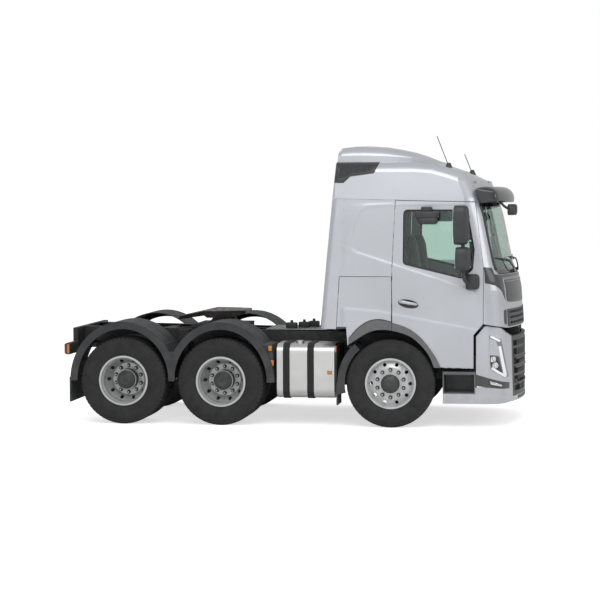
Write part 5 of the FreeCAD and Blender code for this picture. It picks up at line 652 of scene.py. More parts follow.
def front_skin(tree, y, z):
    return met(tree, (6.0, y, z), (-1, 0, 0))


def border_loops(work):
    """The open edges of a mesh as closed lines of corners, in the same order each run."""
    left = dict.fromkeys(edge for edge in work.edges if edge.is_boundary)
    loops = []
    while left:
        first, vert = left.popitem()[0].verts
        loop = [first, vert]
        while True:
            found = [edge for edge in vert.link_edges if edge in left]
            if not found:
                break
            del left[found[0]]
            vert = found[0].other_vert(vert)
            if vert is first:
                break
            loop.append(vert)
        loops.append(loop)
    return loops


def connected(items, around):
    """Splits items into their connected parts. around gives the neighbours of one."""
    left = dict.fromkeys(items)
    parts = []
    while left:
        part = [left.popitem()[0]]
        for item in part:
            for other in around(item):
                if other in left:
                    del left[other]
                    part.append(other)
        parts.append(part)
    return parts


def evened(points, pitch):
    """The same closed line with points at an even pitch."""
    closed = points + points[:1]
    lengths = [0.0]
    for a, b in zip(closed, closed[1:]):
        lengths.append(lengths[-1] + (b - a).length)
    count = max(8, round(lengths[-1] / pitch))
    result = []
    spot = 0
    for index in range(count):
        goal = lengths[-1] * index / count
        while lengths[spot + 1] < goal:
            spot += 1
        share = (goal - lengths[spot]) / max(lengths[spot + 1] - lengths[spot], 1e-9)
        result.append(closed[spot].lerp(closed[spot + 1], share))
    return result


def seal_round(name, points, radius, flat=0.6):
    """A closed rubber lip along a line."""
    work = bmesh.new()
    sides = 8
    rings = []
    count = len(points)
    middle = sum(points, Vector()) / count
    for index, point in enumerate(points):
        along = (points[(index + 1) % count] - points[index - 1]).normalized()
        inward = (middle - point).normalized()
        up = along.cross(inward).normalized()
        inward = up.cross(along).normalized()
        ring = []
        for turn in angles(sides):
            place = point + inward * radius * math.cos(turn) + up * radius * flat * math.sin(turn)
            ring.append(work.verts.new(place))
        rings.append(ring)
    ring_faces(work, rings, closed=True)
    return from_bmesh(name, work)


def glass_border(name, work, width, rise):
    """The black printed border round a pane: a thin band on the pane's outer faces."""
    bmesh.ops.dissolve_limit(work, angle_limit=math.radians(1.0), verts=work.verts, edges=work.edges)
    whole = list(work.faces)
    bmesh.ops.inset_region(work, faces=whole, thickness=width, depth=0.0, use_even_offset=True,
                           use_boundary=True)
    bmesh.ops.delete(work, geom=[face for face in whole if face.is_valid], context="FACES")
    band = from_bmesh(name, work, outward=False)
    for vert in band.data.vertices:
        vert.co += vert.normal * rise
    wall = band.modifiers.new("wall", "SOLIDIFY")
    wall.thickness = rise * 0.8
    wall.offset = -1
    return plain_mesh(band)


def mirror_head(work, low, high, flat_rear=0.62, rows=14, sides=36):
    """Adds a mirror's housing to a bmesh: round in front, flat behind, drawn in at its top and foot."""
    low, high = Vector(low), Vector(high)
    middle, half = (low + high) / 2, (high - low) / 2
    rings = []
    for row in range(rows + 1):
        level = -math.cos(math.pi * row / rows)
        scale = max(1e-3, (1 - abs(level) ** 3.4)) ** (1 / 3.4)
        ring = []
        for turn in angles(sides):
            c, s = math.cos(turn), math.sin(turn)
            a = math.copysign(abs(c) ** 0.72, c)
            b = math.copysign(abs(s) ** 0.62, s)
            x = max(a, -flat_rear) if a < 0 else a
            x = (x + flat_rear) / (1 + flat_rear) * 2 - 1
            shrink = 0.35 + 0.65 * scale if a > 0 else 0.7 + 0.3 * scale
            corner = Vector((x * half.x * shrink, b * half.y * scale, level * half.z))
            ring.append(work.verts.new(middle + corner))
        rings.append(ring)
    ring_faces(work, rings, ends=True)


class DoorSettings(bpy.types.PropertyGroup):
    """Seals, borders and handles of the doors."""

    border: bpy.props.FloatProperty(name="Pane border", description="Width of the black border round a pane",
                                    default=0.028, min=0.005, unit="LENGTH")
    seal: bpy.props.FloatProperty(name="Seal", description="Thickness of the rubber lip round a pane",
                                  default=0.011, min=0.002, unit="LENGTH")
    handle: bpy.props.FloatProperty(name="Handle", description="Length of a door's handle", default=0.25,
                                    min=0.1, unit="LENGTH")


class TRACTOR_OT_panes(bpy.types.Operator):
    """Black borders and rubber lips round the door panes and the windscreen, with the wipers"""

    bl_idname = "tractor.panes"
    bl_label = "Panes and wipers"

    def execute(self, context):
        settings = tool("door")
        for side, out in SIDES:
            def outward(place, out=out):
                return Vector((0, out, 0))
            self.frame(f"door_glass_{side}", f"door_{side}", outward, settings.border, settings.seal, side)
        self.frame("windscreen", "cab", lambda place: Vector((1, place.y * 0.75, 0.2)).normalized(),
                   settings.border * 2.0, settings.seal, "front")
        self.wipers()
        return {"FINISHED"}

    def frame(self, node, body, outward, width, seal, name):
        work = welded(node)
        gone = [face for face in work.faces if face.normal.dot(outward(face.calc_center_median())) < 0.45]
        bmesh.ops.delete(work, geom=gone, context="FACES")
        points = evened([vert.co.copy() for vert in max(border_loops(work), key=len)], 0.03)
        lip = seal_round(f"pane_seal_{name}", points, seal)
        keep(lip, body, "seal_rubber", 60.0)
        band = glass_border(f"pane_border_{name}", work, width, 0.0012)
        keep(band, body, "gloss_black", 30.0)

    def wipers(self):
        tree = shell_tree("windscreen")
        low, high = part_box("windscreen")
        parts = []
        for index, (foot, reach) in enumerate(((0.86, 0.60), (0.22, 0.60), (-0.42, 0.58))):
            z = low.z + 0.045
            spots = []
            for step in range(9):
                share = step / 8
                y = foot - reach * 0.92 * share + 0.04
                spots.append(front_skin(tree, y, z + 0.10 + 0.05 * share)[0] + Vector((0.014, 0, 0)))
            parts.append(pipe("blade", spots, 0.008))
            parts.append(pipe("blade_spine", [spot + Vector((0.014, 0, 0.004)) for spot in spots[1:-1]], 0.006))
            start = front_skin(tree, foot - 0.02, z)[0] + Vector((0.028, 0, -0.02))
            arm = [start, start + Vector((0.012, -0.08, 0.03)), spots[4] + Vector((0.034, 0.08, 0.0)),
                   spots[4] + Vector((0.022, 0, 0.0))]
            parts.append(pipe("arm", arm, 0.009))
            work = bmesh.new()
            rod(work, start - Vector((0.04, 0, 0)), start + Vector((0.014, 0, 0)), 0.022, 0.018)
            parts.append(from_bmesh("boss", work))
        keep(joined("wipers", parts), "cab", "trim_plastic", 40.0)


HANDLE_X = 1.474
HANDLE_Z = 1.512
HANDLE_LEAN = math.radians(10.0)


class TRACTOR_OT_handles(bpy.types.Operator):
    """Door handles in their cups"""

    bl_idname = "tractor.handles"
    bl_label = "Door handles"

    def execute(self, context):
        settings = tool("door")
        for side, out in SIDES:
            place, _ = side_skin(shell_tree(f"door_{side}"), HANDLE_X, HANDLE_Z, out)
            turn = Matrix.Rotation(HANDLE_LEAN, 4, "Y")
            face = place.y + out * relief(tool("skin"), HANDLE_X, HANDLE_Z, 0.7)
            half = settings.handle / 2
            cup = bmesh.new()
            lathe(cup, [(0.0, 0.052), (0.004, 0.060), (0.0055, 0.057), (0.002, 0.049), (-0.001, 0.0),
                        (-0.004, 0.0), (-0.004, 0.052)], (0, 0, 0), steps=40)
            bmesh.ops.remove_doubles(cup, verts=cup.verts, dist=1e-6)
            flip = Matrix.Diagonal((half / 0.06, out, 0.85, 1))
            bmesh.ops.transform(cup, matrix=Matrix.Translation((HANDLE_X, face, HANDLE_Z)) @ turn @ flip,
                                verts=cup.verts)
            made(f"handle_cup_{side}", cup, f"door_{side}", "trim_plastic", 50.0)
            bar = bmesh.new()
            rows = 16
            rings = []
            for row in range(rows + 1):
                share = row / rows
                x = half * 0.96 * (2 * share - 1)
                end = (1 - abs(2 * share - 1) ** 5) ** 0.2
                thick = 0.009 * end + 0.001
                high = (0.020 - 0.005 * share) * end + 0.001
                bow = 0.030 * (1 - abs(2 * share - 1) ** 6) + 0.006
                rings.append([bar.verts.new((x, out * (bow + thick * math.cos(a)), high * math.sin(a)))
                              for a in angles(12)])
            ring_faces(bar, rings, ends=True)
            bmesh.ops.transform(bar, matrix=Matrix.Translation((HANDLE_X, face, HANDLE_Z + 0.012)) @ turn,
                                verts=bar.verts)
            made(f"handle_{side}", bar, f"door_{side}", "silver_paint", 60.0)
        return {"FINISHED"}


class TRACTOR_OT_mirrors(bpy.types.Operator):
    """Rounded mirror housings on their bent arms, with the kerb mirror over the window"""

    bl_idname = "tractor.mirrors"
    bl_label = "Mirrors"

    def execute(self, context):
        for side, out in SIDES:
            self.group(side, out)
        return {"FINISHED"}

    def group(self, side, out):
        """The two mirrors of a door in one row, their arms, and the kerb mirror over the pane."""
        node = f"door_fittings_{side}"
        body = f"door_{side}"
        outer = max(abs(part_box(node)[0].y), abs(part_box(node)[1].y))
        y0, y1 = sorted((out * outer, out * (outer - 0.19)))
        heads = bmesh.new()
        glass = bmesh.new()
        for x0, x1, z0, z1 in ((2.031, 2.221, 2.231, 2.701), (2.055, 2.237, 1.919, 2.205)):
            mirror_head(heads, (x0, y0, z0), (x1, y1, z1))
            rounded_box(glass, (x0 - 0.0015, y0 + 0.022, z0 + 0.035), (x0 + 0.003, y1 - 0.022, z1 - 0.035), 0.0)
        made(f"mirror_heads_{side}", heads, body, "trim_plastic", 42.0, [node])
        made(f"mirror_panes_{side}", glass, body, "mirror_glass", 30.0)
        middle = out * (outer - 0.095)
        skin = out * 1.25
        arms = [
            pipe("arm", [(2.215, skin, 1.76), (2.205, skin + out * 0.07, 1.765), (2.165, middle, 1.80),
                         (2.15, middle, 1.88), (2.155, middle, 1.96)], 0.021),
            pipe("stem", [(2.150, middle, 2.17), (2.140, middle, 2.25)], 0.024),
            pipe("stay", [(2.20, out * 1.20, 2.56), (2.17, skin + out * 0.08, 2.55),
                          (2.13, middle - out * 0.05, 2.53)], 0.014),
        ]
        foot = bmesh.new()
        y0, y1 = sorted((skin - out * 0.03, skin + out * 0.09))
        mirror_head(foot, (2.168, y0, 1.690), (2.335, y1, 1.875), 0.9)
        arms.append(from_bmesh("foot", foot))
        keep(joined(f"mirror_arms_{side}", arms), body, "trim_plastic", 45.0)
        kerb = bmesh.new()
        near, far = skin + out * 0.02, skin + out * 0.165
        rounded_box(kerb, (1.565, near, 2.545), (1.845, far, 2.628), 0.022, 4)
        rounded_box(kerb, (1.60, min(near, far), 2.475), (1.835, max(near, far - out * 0.02), 2.56), 0.03, 4)
        rounded_box(kerb, (1.635, skin - out * 0.04, 2.60), (1.765, near + out * 0.07, 2.685), 0.016, 3)
        made(f"kerb_mirror_{side}", kerb, body, "trim_plastic")


# Front and lamps

def grown(outline, margin):
    """A closed 2-D outline grown outwards by a margin, corner by corner."""
    count = len(outline)
    area = sum(outline[i - 1][0] * outline[i][1] - outline[i][0] * outline[i - 1][1] for i in range(count))
    way = 1 if area > 0 else -1
    result = []
    for i in range(count):
        a, b, c = (Vector(outline[(i + k) % count][:2]) for k in (-1, 0, 1))
        first, second = (b - a).normalized(), (c - b).normalized()
        n1, n2 = Vector((first.y, -first.x)) * way, Vector((second.y, -second.x)) * way
        middle = (n1 + n2)
        middle = middle.normalized() if middle.length > 1e-6 else n1
        result.append(tuple(b + middle * (margin / max(0.35, middle.dot(n1)))))
    return result


def rounded(points, radius, steps=4):
    """A closed 2-D outline with its corners rounded."""
    result = []
    count = len(points)
    for i in range(count):
        a, b, c = (Vector(points[(i + k) % count]) for k in (-1, 0, 1))
        reach = min(radius, (a - b).length * 0.45, (c - b).length * 0.45)
        start = b + (a - b).normalized() * reach
        end = b + (c - b).normalized() * reach
        for step in range(steps + 1):
            t = step / steps
            result.append(tuple((1 - t) ** 2 * start + 2 * t * (1 - t) * b + t ** 2 * end))
    return result


def inside(point, outline):
    x, y = point
    hit = False
    for (x0, y0), (x1, y1) in zip(outline, outline[1:] + outline[:1]):
        if (y0 > y) != (y1 > y) and x < (x1 - x0) * (y - y0) / (y1 - y0) + x0:
            hit = not hit
    return hit


def lined(outline, pitch):
    """A closed outline with points no further apart than a pitch."""
    result = []
    for a, b in zip(outline, outline[1:] + outline[:1]):
        a, b = Vector(a), Vector(b)
        steps = max(1, math.ceil((b - a).length / pitch))
        result += [tuple(a.lerp(b, step / steps)) for step in range(steps)]
    return result


def skin_patch(name, cast, outline, rise, thick, pitch=0.03, holes=(), edge=0.0012, spots=None):
    """A thin piece that follows a skin: a 2-D outline with holes, each point laid on the skin by cast.
    rise is how far it stands out, a number or a function of the place. spots are the inner points."""
    loops = [lined(loop, pitch) for loop in (outline, *holes)]
    verts, edges = [], []
    for loop in loops:
        first = len(verts)
        verts += [Vector(point) for point in loop]
        edges += [(first + i, first + (i + 1) % len(loop)) for i in range(len(loop))]
    if spots is None:
        low = [min(point[k] for point in outline) for k in (0, 1)]
        high = [max(point[k] for point in outline) for k in (0, 1)]
        spots = [(low[0] + i * pitch, low[1] + j * pitch) for i in range(1, int((high[0] - low[0]) / pitch) + 1)
                 for j in range(1, int((high[1] - low[1]) / pitch) + 1)]
    border = KDTree(len(verts))
    for index, point in enumerate(verts):
        border.insert((*point, 0), index)
    border.balance()
    for spot in spots:
        if inside(spot, loops[0]) and not any(inside(spot, loop) for loop in loops[1:]):
            if border.find((*spot, 0))[2] > pitch * 0.45:
                verts.append(Vector(spot))
    flat, _, faces, _, _, _ = delaunay_2d_cdt(verts, edges, [], 0, 1e-6)
    work = bmesh.new()
    corners = []
    for point in flat:
        place, normal = cast(point.x, point.y)
        lift = rise(point.x, point.y) if callable(rise) else rise
        corners.append(work.verts.new(place + normal * lift))
    for face in faces:
        middle = sum((flat[i] for i in face), Vector((0, 0))) / len(face)
        if inside(middle, loops[0]) and not any(inside(middle, loop) for loop in loops[1:]):
            work.faces.new([corners[i] for i in face])
    loose = [vert for vert in work.verts if not vert.link_faces]
    bmesh.ops.delete(work, geom=loose, context="VERTS")
    middle = sum((vert.co for vert in work.verts), Vector()) / len(work.verts)
    work.normal_update()
    facing = sum(face.normal.dot(Vector((middle.x - ARC_X, middle.y, 0.0))) for face in work.faces)
    if facing < 0:
        bmesh.ops.reverse_faces(work, faces=work.faces)
    piece = from_bmesh(name, work, outward=False)
    wall = piece.modifiers.new("wall", "SOLIDIFY")
    wall.thickness = thick
    wall.offset = -1
    if edge:
        bevel(piece, edge, 50.0)
    return plain_mesh(piece)


def laid(name, body, slot, finish, *shape, smooth=35.0, **more):
    """A finished piece that follows a skin. shape is what skin_patch takes after its name."""
    return keep(skin_patch(name, *shape, **more), body, finish, smooth)


def side_cast(tree, out):
    return lambda x, z: side_skin(tree, x, z, out)


def front_cast(tree):
    return lambda y, z: front_skin(tree, y, z)


def turned_cast(tree, out):
    """Lays points round the front: the first number is an arc from straight ahead, ARC_R from ARC_X."""
    def cast(arc, z):
        way = Vector((math.cos(arc / ARC_R), out * math.sin(arc / ARC_R), 0))
        return met(tree, Vector((ARC_X, 0, z)) + way * 4.0, -way)
    return cast


def arcs(points):
    """(degrees, height) points as the arcs that turned_cast takes."""
    return [(math.radians(turn) * ARC_R, z) for turn, z in points]


def level_cast(tree, z):
    """Lays points on an upright surface that is met at one height, also where the solid is open."""
    def cast(y, height):
        place, normal = front_skin(tree, y, z)
        return Vector((place.x, place.y, height)), Vector((normal.x, normal.y, 0)).normalized()
    return cast


def rectangle(y0, y1, z0, z1):
    return [(y0, z0), (y1, z0), (y1, z1), (y0, z1)]


class FrontSettings(bpy.types.PropertyGroup):
    """Dark panel, grilles and lamps of the front."""

    rise: bpy.props.FloatProperty(name="Panel rise",
                                  description="How far a panel stands out of the skin under it",
                                  default=0.003, min=0.001, unit="LENGTH")
    rib: bpy.props.FloatProperty(name="Grille rib", description="Radius of the raised ribs of the lower grille",
                                 default=0.013, min=0.002, unit="LENGTH")
    blades: bpy.props.IntProperty(name="Blades", description="Upright blades across half of a grille", default=9,
                                  min=2)
    strip: bpy.props.FloatProperty(name="Light strip", description="Width of the light strips in the lamps",
                                   default=0.026, min=0.005, unit="LENGTH")


UPPER_GRILLE_Z = 1.24
LOWER_GRILLE_Z = 0.375


def blade(work, place, normal, low, high, width):
    """Adds a rounded bar that stands on a skin at a place, turned to face the way that the skin does."""
    turn = Matrix.Rotation(math.atan2(normal.y, normal.x), 4, "Z")
    rounded_box(work, place + Vector(low), place + Vector(high), width, 2, turn)


class TRACTOR_OT_front(bpy.types.Operator):
    """Dark panel under the windscreen, the framed upper grille and the ribbed lower grille"""

    bl_idname = "tractor.front"
    bl_label = "Front"

    def execute(self, context):
        settings = tool("front")
        self.dark_panel(settings)
        self.upper_grille(settings)
        self.lower_grille(settings)
        return {"FINISHED"}

    def dark_panel(self, settings):
        """The dark panel on the lid, its bright strip, and the dark band round the windscreen's foot."""
        rise = settings.rise
        half = [(0.945, 1.545), (0.90, 1.524), (0.69, 1.515), (0.35, 1.510)]
        outline = [(-y, z) for y, z in half] + [(0.0, 1.508)] + [(y, z) for y, z in reversed(half)]
        outline += [(0.945, 1.798), (-0.945, 1.798)]
        cast = front_cast(shell_tree("front_lid"))
        laid("front_panel", "front_lid", "black_plastic", "panel_black", cast, rounded(outline, 0.02, 3), rise,
             rise + 0.0006, 0.05)
        laid("panel_strip", "front_lid", "paint", "bright_steel", cast, rectangle(-0.93, 0.93, 1.768, 1.776),
             rise + 0.004, 0.004, 0.05, edge=0.0008)
        corner = [(57.3, 1.765), (55.0, 1.752), (52.0, 1.735), (49.5, 1.70), (47.0, 1.65), (45.2, 1.60),
                  (43.6, 1.548), (44.4, 1.80), (44.2, 1.820)]
        crown = [(44.0, 1.8565), (48.0, 1.858), (51.6, 1.868), (52.6, 1.945), (57.2, 1.955)]
        outline = [(-turn, z) for turn, z in corner] + [(turn, z) for turn, z in reversed(corner)]
        outline += [(turn, z) for turn, z in reversed(crown)] + [(-turn, z) for turn, z in crown]
        cast = turned_cast(shell_tree("cab_front", "windscreen"), 1)
        laid("windscreen_base", "cab", "black_plastic", "panel_black", cast, arcs(outline), rise, rise + 0.0006,
             0.04)

    def upper_grille(self, settings):
        """Three rows of slots with blades behind them, and the grille's ends on the cab's corners."""
        tree = shell_tree("front_lid")
        slots = [(z + 0.016, z + 0.048) for z in (1.238, 1.302, 1.366)]
        holes = [rectangle(*sorted((side * 0.0135, side * 0.8925)), low - 0.0025, high + 0.0025)
                 for low, high in slots for side in (-1, 1)]
        outline = rectangle(-0.949, 0.949, 1.227, 1.437)
        laid("grille_face", "front_lid", "dark_plastic", "grille_plastic", front_cast(tree), outline,
             0.006, 0.0066, 0.05, holes)
        cast = level_cast(tree, UPPER_GRILLE_Z)
        laid("grille_mesh", "front_lid", "black_plastic", "vent_mesh", cast,
             rectangle(-0.9, 0.9, UPPER_GRILLE_Z, 1.428), -0.034, 0.003, 0.06, edge=0)
        work = bmesh.new()
        for side in (-1, 1):
            for index in range(settings.blades):
                y = side * 0.89 * (index + 0.5) / settings.blades
                place, normal = cast(y, 1.334)
                blade(work, place, normal, (-0.036, -0.009, -0.086), (-0.004, 0.009, 0.086), 0.003)
        made("grille_blades", work, "front_lid", "grille_plastic", 35.0)
        for side, out in SIDES:
            outline = arcs([(43.3, 1.252), (45.6, 1.262), (46.0, 1.29), (46.0, 1.40), (45.4, 1.428),
                            (43.3, 1.436)])
            laid(f"grille_end_{side}", "cab", "dark_plastic", "grille_plastic",
                 turned_cast(shell_tree("cab_front"), out), outline, 0.006, 0.0066, 0.03)

    def lower_grille(self, settings):
        """Three raised ribs, four rows of blades and the mesh behind them, and the bumper's insert."""
        cast = level_cast(shell_tree("lower_grille"), LOWER_GRILLE_Z)
        parts = []
        for low, reach, lift in ((0.815, 0.66, 0.060), (0.706, 0.60, 0.012), (0.506, 0.62, 0.055)):
            points = []
            for y, z in ((-reach - 0.13, low + lift), (-reach, low), (-reach * 0.5, low), (0, low),
                         (reach * 0.5, low), (reach, low), (reach + 0.13, low + lift)):
                points.append(cast(y, z)[0] + Vector((0.001, 0, 0)))
            for a, b in zip(points, points[1:]):
                work = bmesh.new()
                rod(work, a, b, settings.rib, sides=12)
                bmesh.ops.create_icosphere(work, subdivisions=2, radius=settings.rib,
                                           matrix=Matrix.Translation(b))
                parts.append(from_bmesh("rib", work))
        work = bmesh.new()
        rows = (0.865, 1.045, 8, 0.62), (0.735, 0.79, 8, 0.50), (0.555, 0.685, 8, 0.56), (0.43, 0.485, 6, 0.46)
        for low, high, count, reach in rows:
            for index in range(-count, count + 1):
                y = reach * index / count
                place, normal = cast(y, (low + high) / 2)
                half = (high - low) / 2
                blade(work, place, normal, (-0.03, -0.013, -half), (0.001, 0.013, half), 0.004)
        parts.append(from_bmesh("blades", work))
        keep(joined("lower_ribs", parts), "chassis", "grille_plastic", 40.0)
        laid("lower_mesh", "chassis", "black_plastic", "vent_mesh", cast, rectangle(-0.80, 0.80, 0.40, 1.06),
             -0.04, 0.003, 0.08, edge=0)
        laid("bumper_insert", "chassis", "dark_plastic", "grille_plastic", front_cast(shell_tree("bumper")),
             rounded(rectangle(-0.60, 0.60, 0.318, 0.352), 0.01), 0.004, 0.0046, 0.05)


class TRACTOR_OT_lamps(bpy.types.Operator):
    """Light strips, painted covers and lamp units in the headlamps, and the fog lamps"""

    bl_idname = "tractor.lamps"
    bl_label = "Lamps"

    def execute(self, context):
        settings = tool("front")
        for side, out in SIDES:
            self.headlamp(settings, side, out)
            self.fog_lamp(side, out)
        return {"FINISHED"}

    def patch(self, name, cast, points, finish, slot, rise, radius=0.006, thick=None):
        """A plate on a lamp's side. points are (x from the front hub, z)."""
        outline = rounded([(x + HUB_X["front"], z) for x, z in points], radius, 3)
        laid(name, "chassis", slot, finish, cast, outline, rise, thick or rise + 0.001, 0.02, edge=0.0008)

    def strip(self, name, cast, points, width, rise):
        """A light strip along a line in the side view."""
        left, right = [], []
        for index, point in enumerate(points):
            before = Vector(points[max(0, index - 1)])
            after = Vector(points[min(len(points) - 1, index + 1)])
            along = (after - before).normalized()
            across = Vector((-along.y, along.x)) * width / 2
            left.append(tuple(Vector(point) + across))
            right.append(tuple(Vector(point) - across))
        self.patch(name, cast, left + right[::-1], "daylight_strip", "lamp_glass", rise, width * 0.3)

    def headlamp(self, settings, side, out):
        """The covers, light strips, well and two units of a headlamp, in (x from the front hub, z)."""
        cast = side_cast(shell_tree("headlamps", "headlamp_panels"), out)
        cover = [(1.196, 1.098), (1.270, 1.060), (1.292, 1.000), (1.322, 0.860), (1.290, 0.890), (1.196, 0.897)]
        self.patch(f"lamp_cover_{side}", cast, cover, "silver_paint", "paint", 0.005)
        sill = [(1.212, 0.712), (1.385, 0.615), (1.405, 0.604), (1.215, 0.700)]
        self.patch(f"lamp_sill_{side}", cast, sill, "silver_paint", "paint", 0.004, 0.002)
        for name, line, wide in (
                ("top", [(1.204, 1.121), (1.262, 1.092), (1.318, 1.060)], 1.0),
                ("long", [(1.312, 1.000), (1.332, 0.890), (1.352, 0.780), (1.378, 0.640)], 1.15),
                ("low", [(1.222, 0.738), (1.300, 0.685), (1.385, 0.626)], 1.0)):
            self.strip(f"strip_{name}_{side}", cast, line, settings.strip * wide, 0.006)
        well = [(1.200, 0.884), (1.300, 0.872), (1.345, 0.680), (1.318, 0.676), (1.222, 0.752), (1.205, 0.79)]
        self.patch(f"lamp_well_{side}", cast, well, "panel_black", "black_plastic", 0.0025)
        self.unit(f"lamp_square_{side}", cast, (1.238, 0.842), (0.034, 0.032), 0.55)
        self.unit(f"lamp_round_{side}", cast, (1.262, 0.768), (0.040, 0.036), 1.0)

    def unit(self, name, cast, middle, half, roundness):
        """A lamp unit: a bright ring round a dish, with a bowl in it, all in the reflector's finish."""
        place, normal = cast(middle[0] + HUB_X["front"], middle[1])
        work = bmesh.new()
        outline = [(0.002, 1.0), (0.009, 1.0), (0.010, 0.93), (0.005, 0.86), (0.002, 0.55), (0.004, 0.40),
                   (0.012, 0.30), (0.016, 0.16), (0.017, 0.001), (0.002, 0.001)]
        lathe(work, [(along, radius * half[0]) for along, radius in outline], (0, 0, 0), "Z", 32)
        for vert in work.verts:
            a, b = vert.co.x / half[0], vert.co.y / half[0]
            r = math.hypot(a, b)
            if r > 1e-6:
                turn = math.atan2(b, a)
                c, s = math.cos(turn), math.sin(turn)
                square = 1 / max(abs(c), abs(s))
                scale = r * (roundness + (1 - roundness) * square)
                vert.co.x, vert.co.y = half[0] * scale * c, half[1] * scale * s
        turn = normal.to_track_quat("Z", "Y").to_matrix().to_4x4()
        bmesh.ops.transform(work, matrix=Matrix.Translation(place) @ turn, verts=work.verts)
        made(name, work, "chassis", "lamp_reflector", 35.0)

    def fog_lamp(self, side, out):
        """A fog lamp in its rim. Both outlines are (x from the front hub, z)."""
        cast = side_cast(shell_tree("fog_bands"), out)
        outline = [(1.190, 0.590), (1.262, 0.566), (1.338, 0.540), (1.350, 0.522), (1.336, 0.503), (1.205, 0.534)]
        self.patch(f"fog_rim_{side}", cast, outline, "trim_plastic", "dark_plastic", 0.006, 0.012)
        inner = [(1.198, 0.583), (1.260, 0.560), (1.331, 0.535), (1.342, 0.521), (1.333, 0.510), (1.210, 0.540)]
        self.patch(f"fog_lamp_{side}", cast, inner, "lamp_reflector", "lamp_glass", 0.009, 0.010)


class TRACTOR_OT_flares(bpy.types.Operator):
    """Wheel arch flares on the doors"""

    bl_idname = "tractor.flares"
    bl_label = "Door flares"

    def execute(self, context):
        for side, _ in SIDES:
            work = welded(f"door_fittings_{side}")
            islands = connected(work.verts,
                                lambda vert: [edge.other_vert(vert) for edge in vert.link_edges])
            lowest = min(islands, key=lambda verts: min(vert.co.z for vert in verts))
            gone = [vert for island in islands if island is not lowest for vert in island]
            bmesh.ops.delete(work, geom=gone, context="VERTS")
            flare = from_bmesh(f"door_flare_{side}", work, outward=False)
            normals = flare.data.attributes.get("custom_normal")
            if normals:
                flare.data.attributes.remove(normals)
            keep(flare, f"door_{side}", "flare_plastic", 32.0)
        return {"FINISHED"}


# Creased side skins

SKIN_WALL = 0.011
SKIN_EDGE = 0.0012
CREASE_TOP = ((0.7785, 2.175), (2.1705, 1.719))
CREASE_LOW = ((0.6065, 1.494), (1.1315, 1.448), (2.3265, 1.231))
CREASE_BAY = ((0.8395, 2.151), (0.7915, 2.199), (0.7915, 2.284), (0.8405, 2.502), (0.9015, 2.623),
              (0.9995, 2.671), (1.3145, 2.690), (2.60, 2.705), (2.60, 1.578), (0.90, 2.135))


def line_height(line, x):
    """The height of a line of (x, z) points at x, carried on past its ends."""
    for (x0, z0), (x1, z1) in zip(line, line[1:]):
        if x <= x1 or (x1, z1) == line[-1]:
            return z0 + (z1 - z0) * (x - x0) / (x1 - x0)
    return line[-1][1]


def eased(value, low, high):
    share = min(1.0, max(0.0, (value - low) / (high - low)))
    return share * share * (3 - 2 * share)


def bay_distance(x, z):
    """How far a place lies outside the sunk bay round the windows; less than 0 inside it."""
    spot = Vector((x, z))
    best = 9.0
    for a, b in zip(CREASE_BAY, CREASE_BAY[1:] + CREASE_BAY[:1]):
        a, b = Vector(a), Vector(b)
        share = min(1.0, max(0.0, (spot - a).dot(b - a) / (b - a).length_squared))
        best = min(best, (spot - a.lerp(b, share)).length)
    return -best if inside((x, z), list(CREASE_BAY)) else best


class SkinSettings(bpy.types.PropertyGroup):
    """Creases pressed in the cab's side skins."""

    bay: bpy.props.FloatProperty(name="Bay depth", description="Depth of the sunk bay round the windows",
                                 default=0.010, min=0, unit="LENGTH")
    shoulder: bpy.props.FloatProperty(name="Shoulder", description="Depth of the step at the lower crease",
                                      default=0.011, min=0, unit="LENGTH")
    pitch: bpy.props.FloatProperty(name="Pitch", description="Distance between the points of a skin",
                                   default=0.018, min=0.005, unit="LENGTH")


def relief(settings, x, z, rear):
    """How far the pressed skin stands out at a place on a side; rear is where the side's skin ends there."""
    far = bay_distance(x, z)
    reach = 0.28 if z < line_height(CREASE_TOP, x) else 0.09
    ridge = settings.bay * eased(far, -0.006, 0.034) * math.exp(-max(0.0, far) / reach)
    below = line_height(CREASE_LOW, x) - z
    step = settings.shoulder * eased(below, 0.0, 0.052) * (1 - 0.45 * eased(below, 0.08, 0.5))
    fade = eased(x, rear, rear + 0.075)
    if z > 1.30:
        fade *= 1 - eased(x, 2.29, 2.372)
    fade *= 1 - eased(z, 2.69, 2.745)
    return 0.0012 + max(ridge, step) * fade


def side_outlines(node, out):
    """The border and the holes of the largest face of a solid's side, as (x, z) outlines, the border first."""
    work = welded(node)
    gone = [face for face in work.faces if face.normal.y * out < 0.72 or face.calc_center_median().y * out < 0]
    bmesh.ops.delete(work, geom=gone, context="FACES")
    parts = connected(work.faces, lambda face: [f for edge in face.edges for f in edge.link_faces])
    kept = set(max(parts, key=lambda part: sum(face.calc_area() for face in part)))
    bmesh.ops.delete(work, geom=[face for face in work.faces if face not in kept], context="FACES")
    loops = [[(vert.co.x, vert.co.z) for vert in loop] for loop in border_loops(work)]
    work.free()
    loops.sort(key=lambda loop: -abs(sum(a[0] * b[1] - b[0] * a[1] for a, b in zip(loop, loop[1:] + loop[:1]))))
    return [thinned(loop) for loop in loops if len(loop) > 3]


def thinned(loop):
    """A closed outline without the points that lie in line with their neighbours or on them."""
    kept = []
    for point in loop:
        if not kept or (Vector(point) - Vector(kept[-1])).length > 0.0015:
            kept.append(point)
    result = []
    for i, point in enumerate(kept):
        a, b = Vector(kept[i - 1]), Vector(kept[(i + 1) % len(kept)])
        p = Vector(point)
        if abs((p - a).cross(b - p)) > 1e-6:
            result.append(point)
    return result


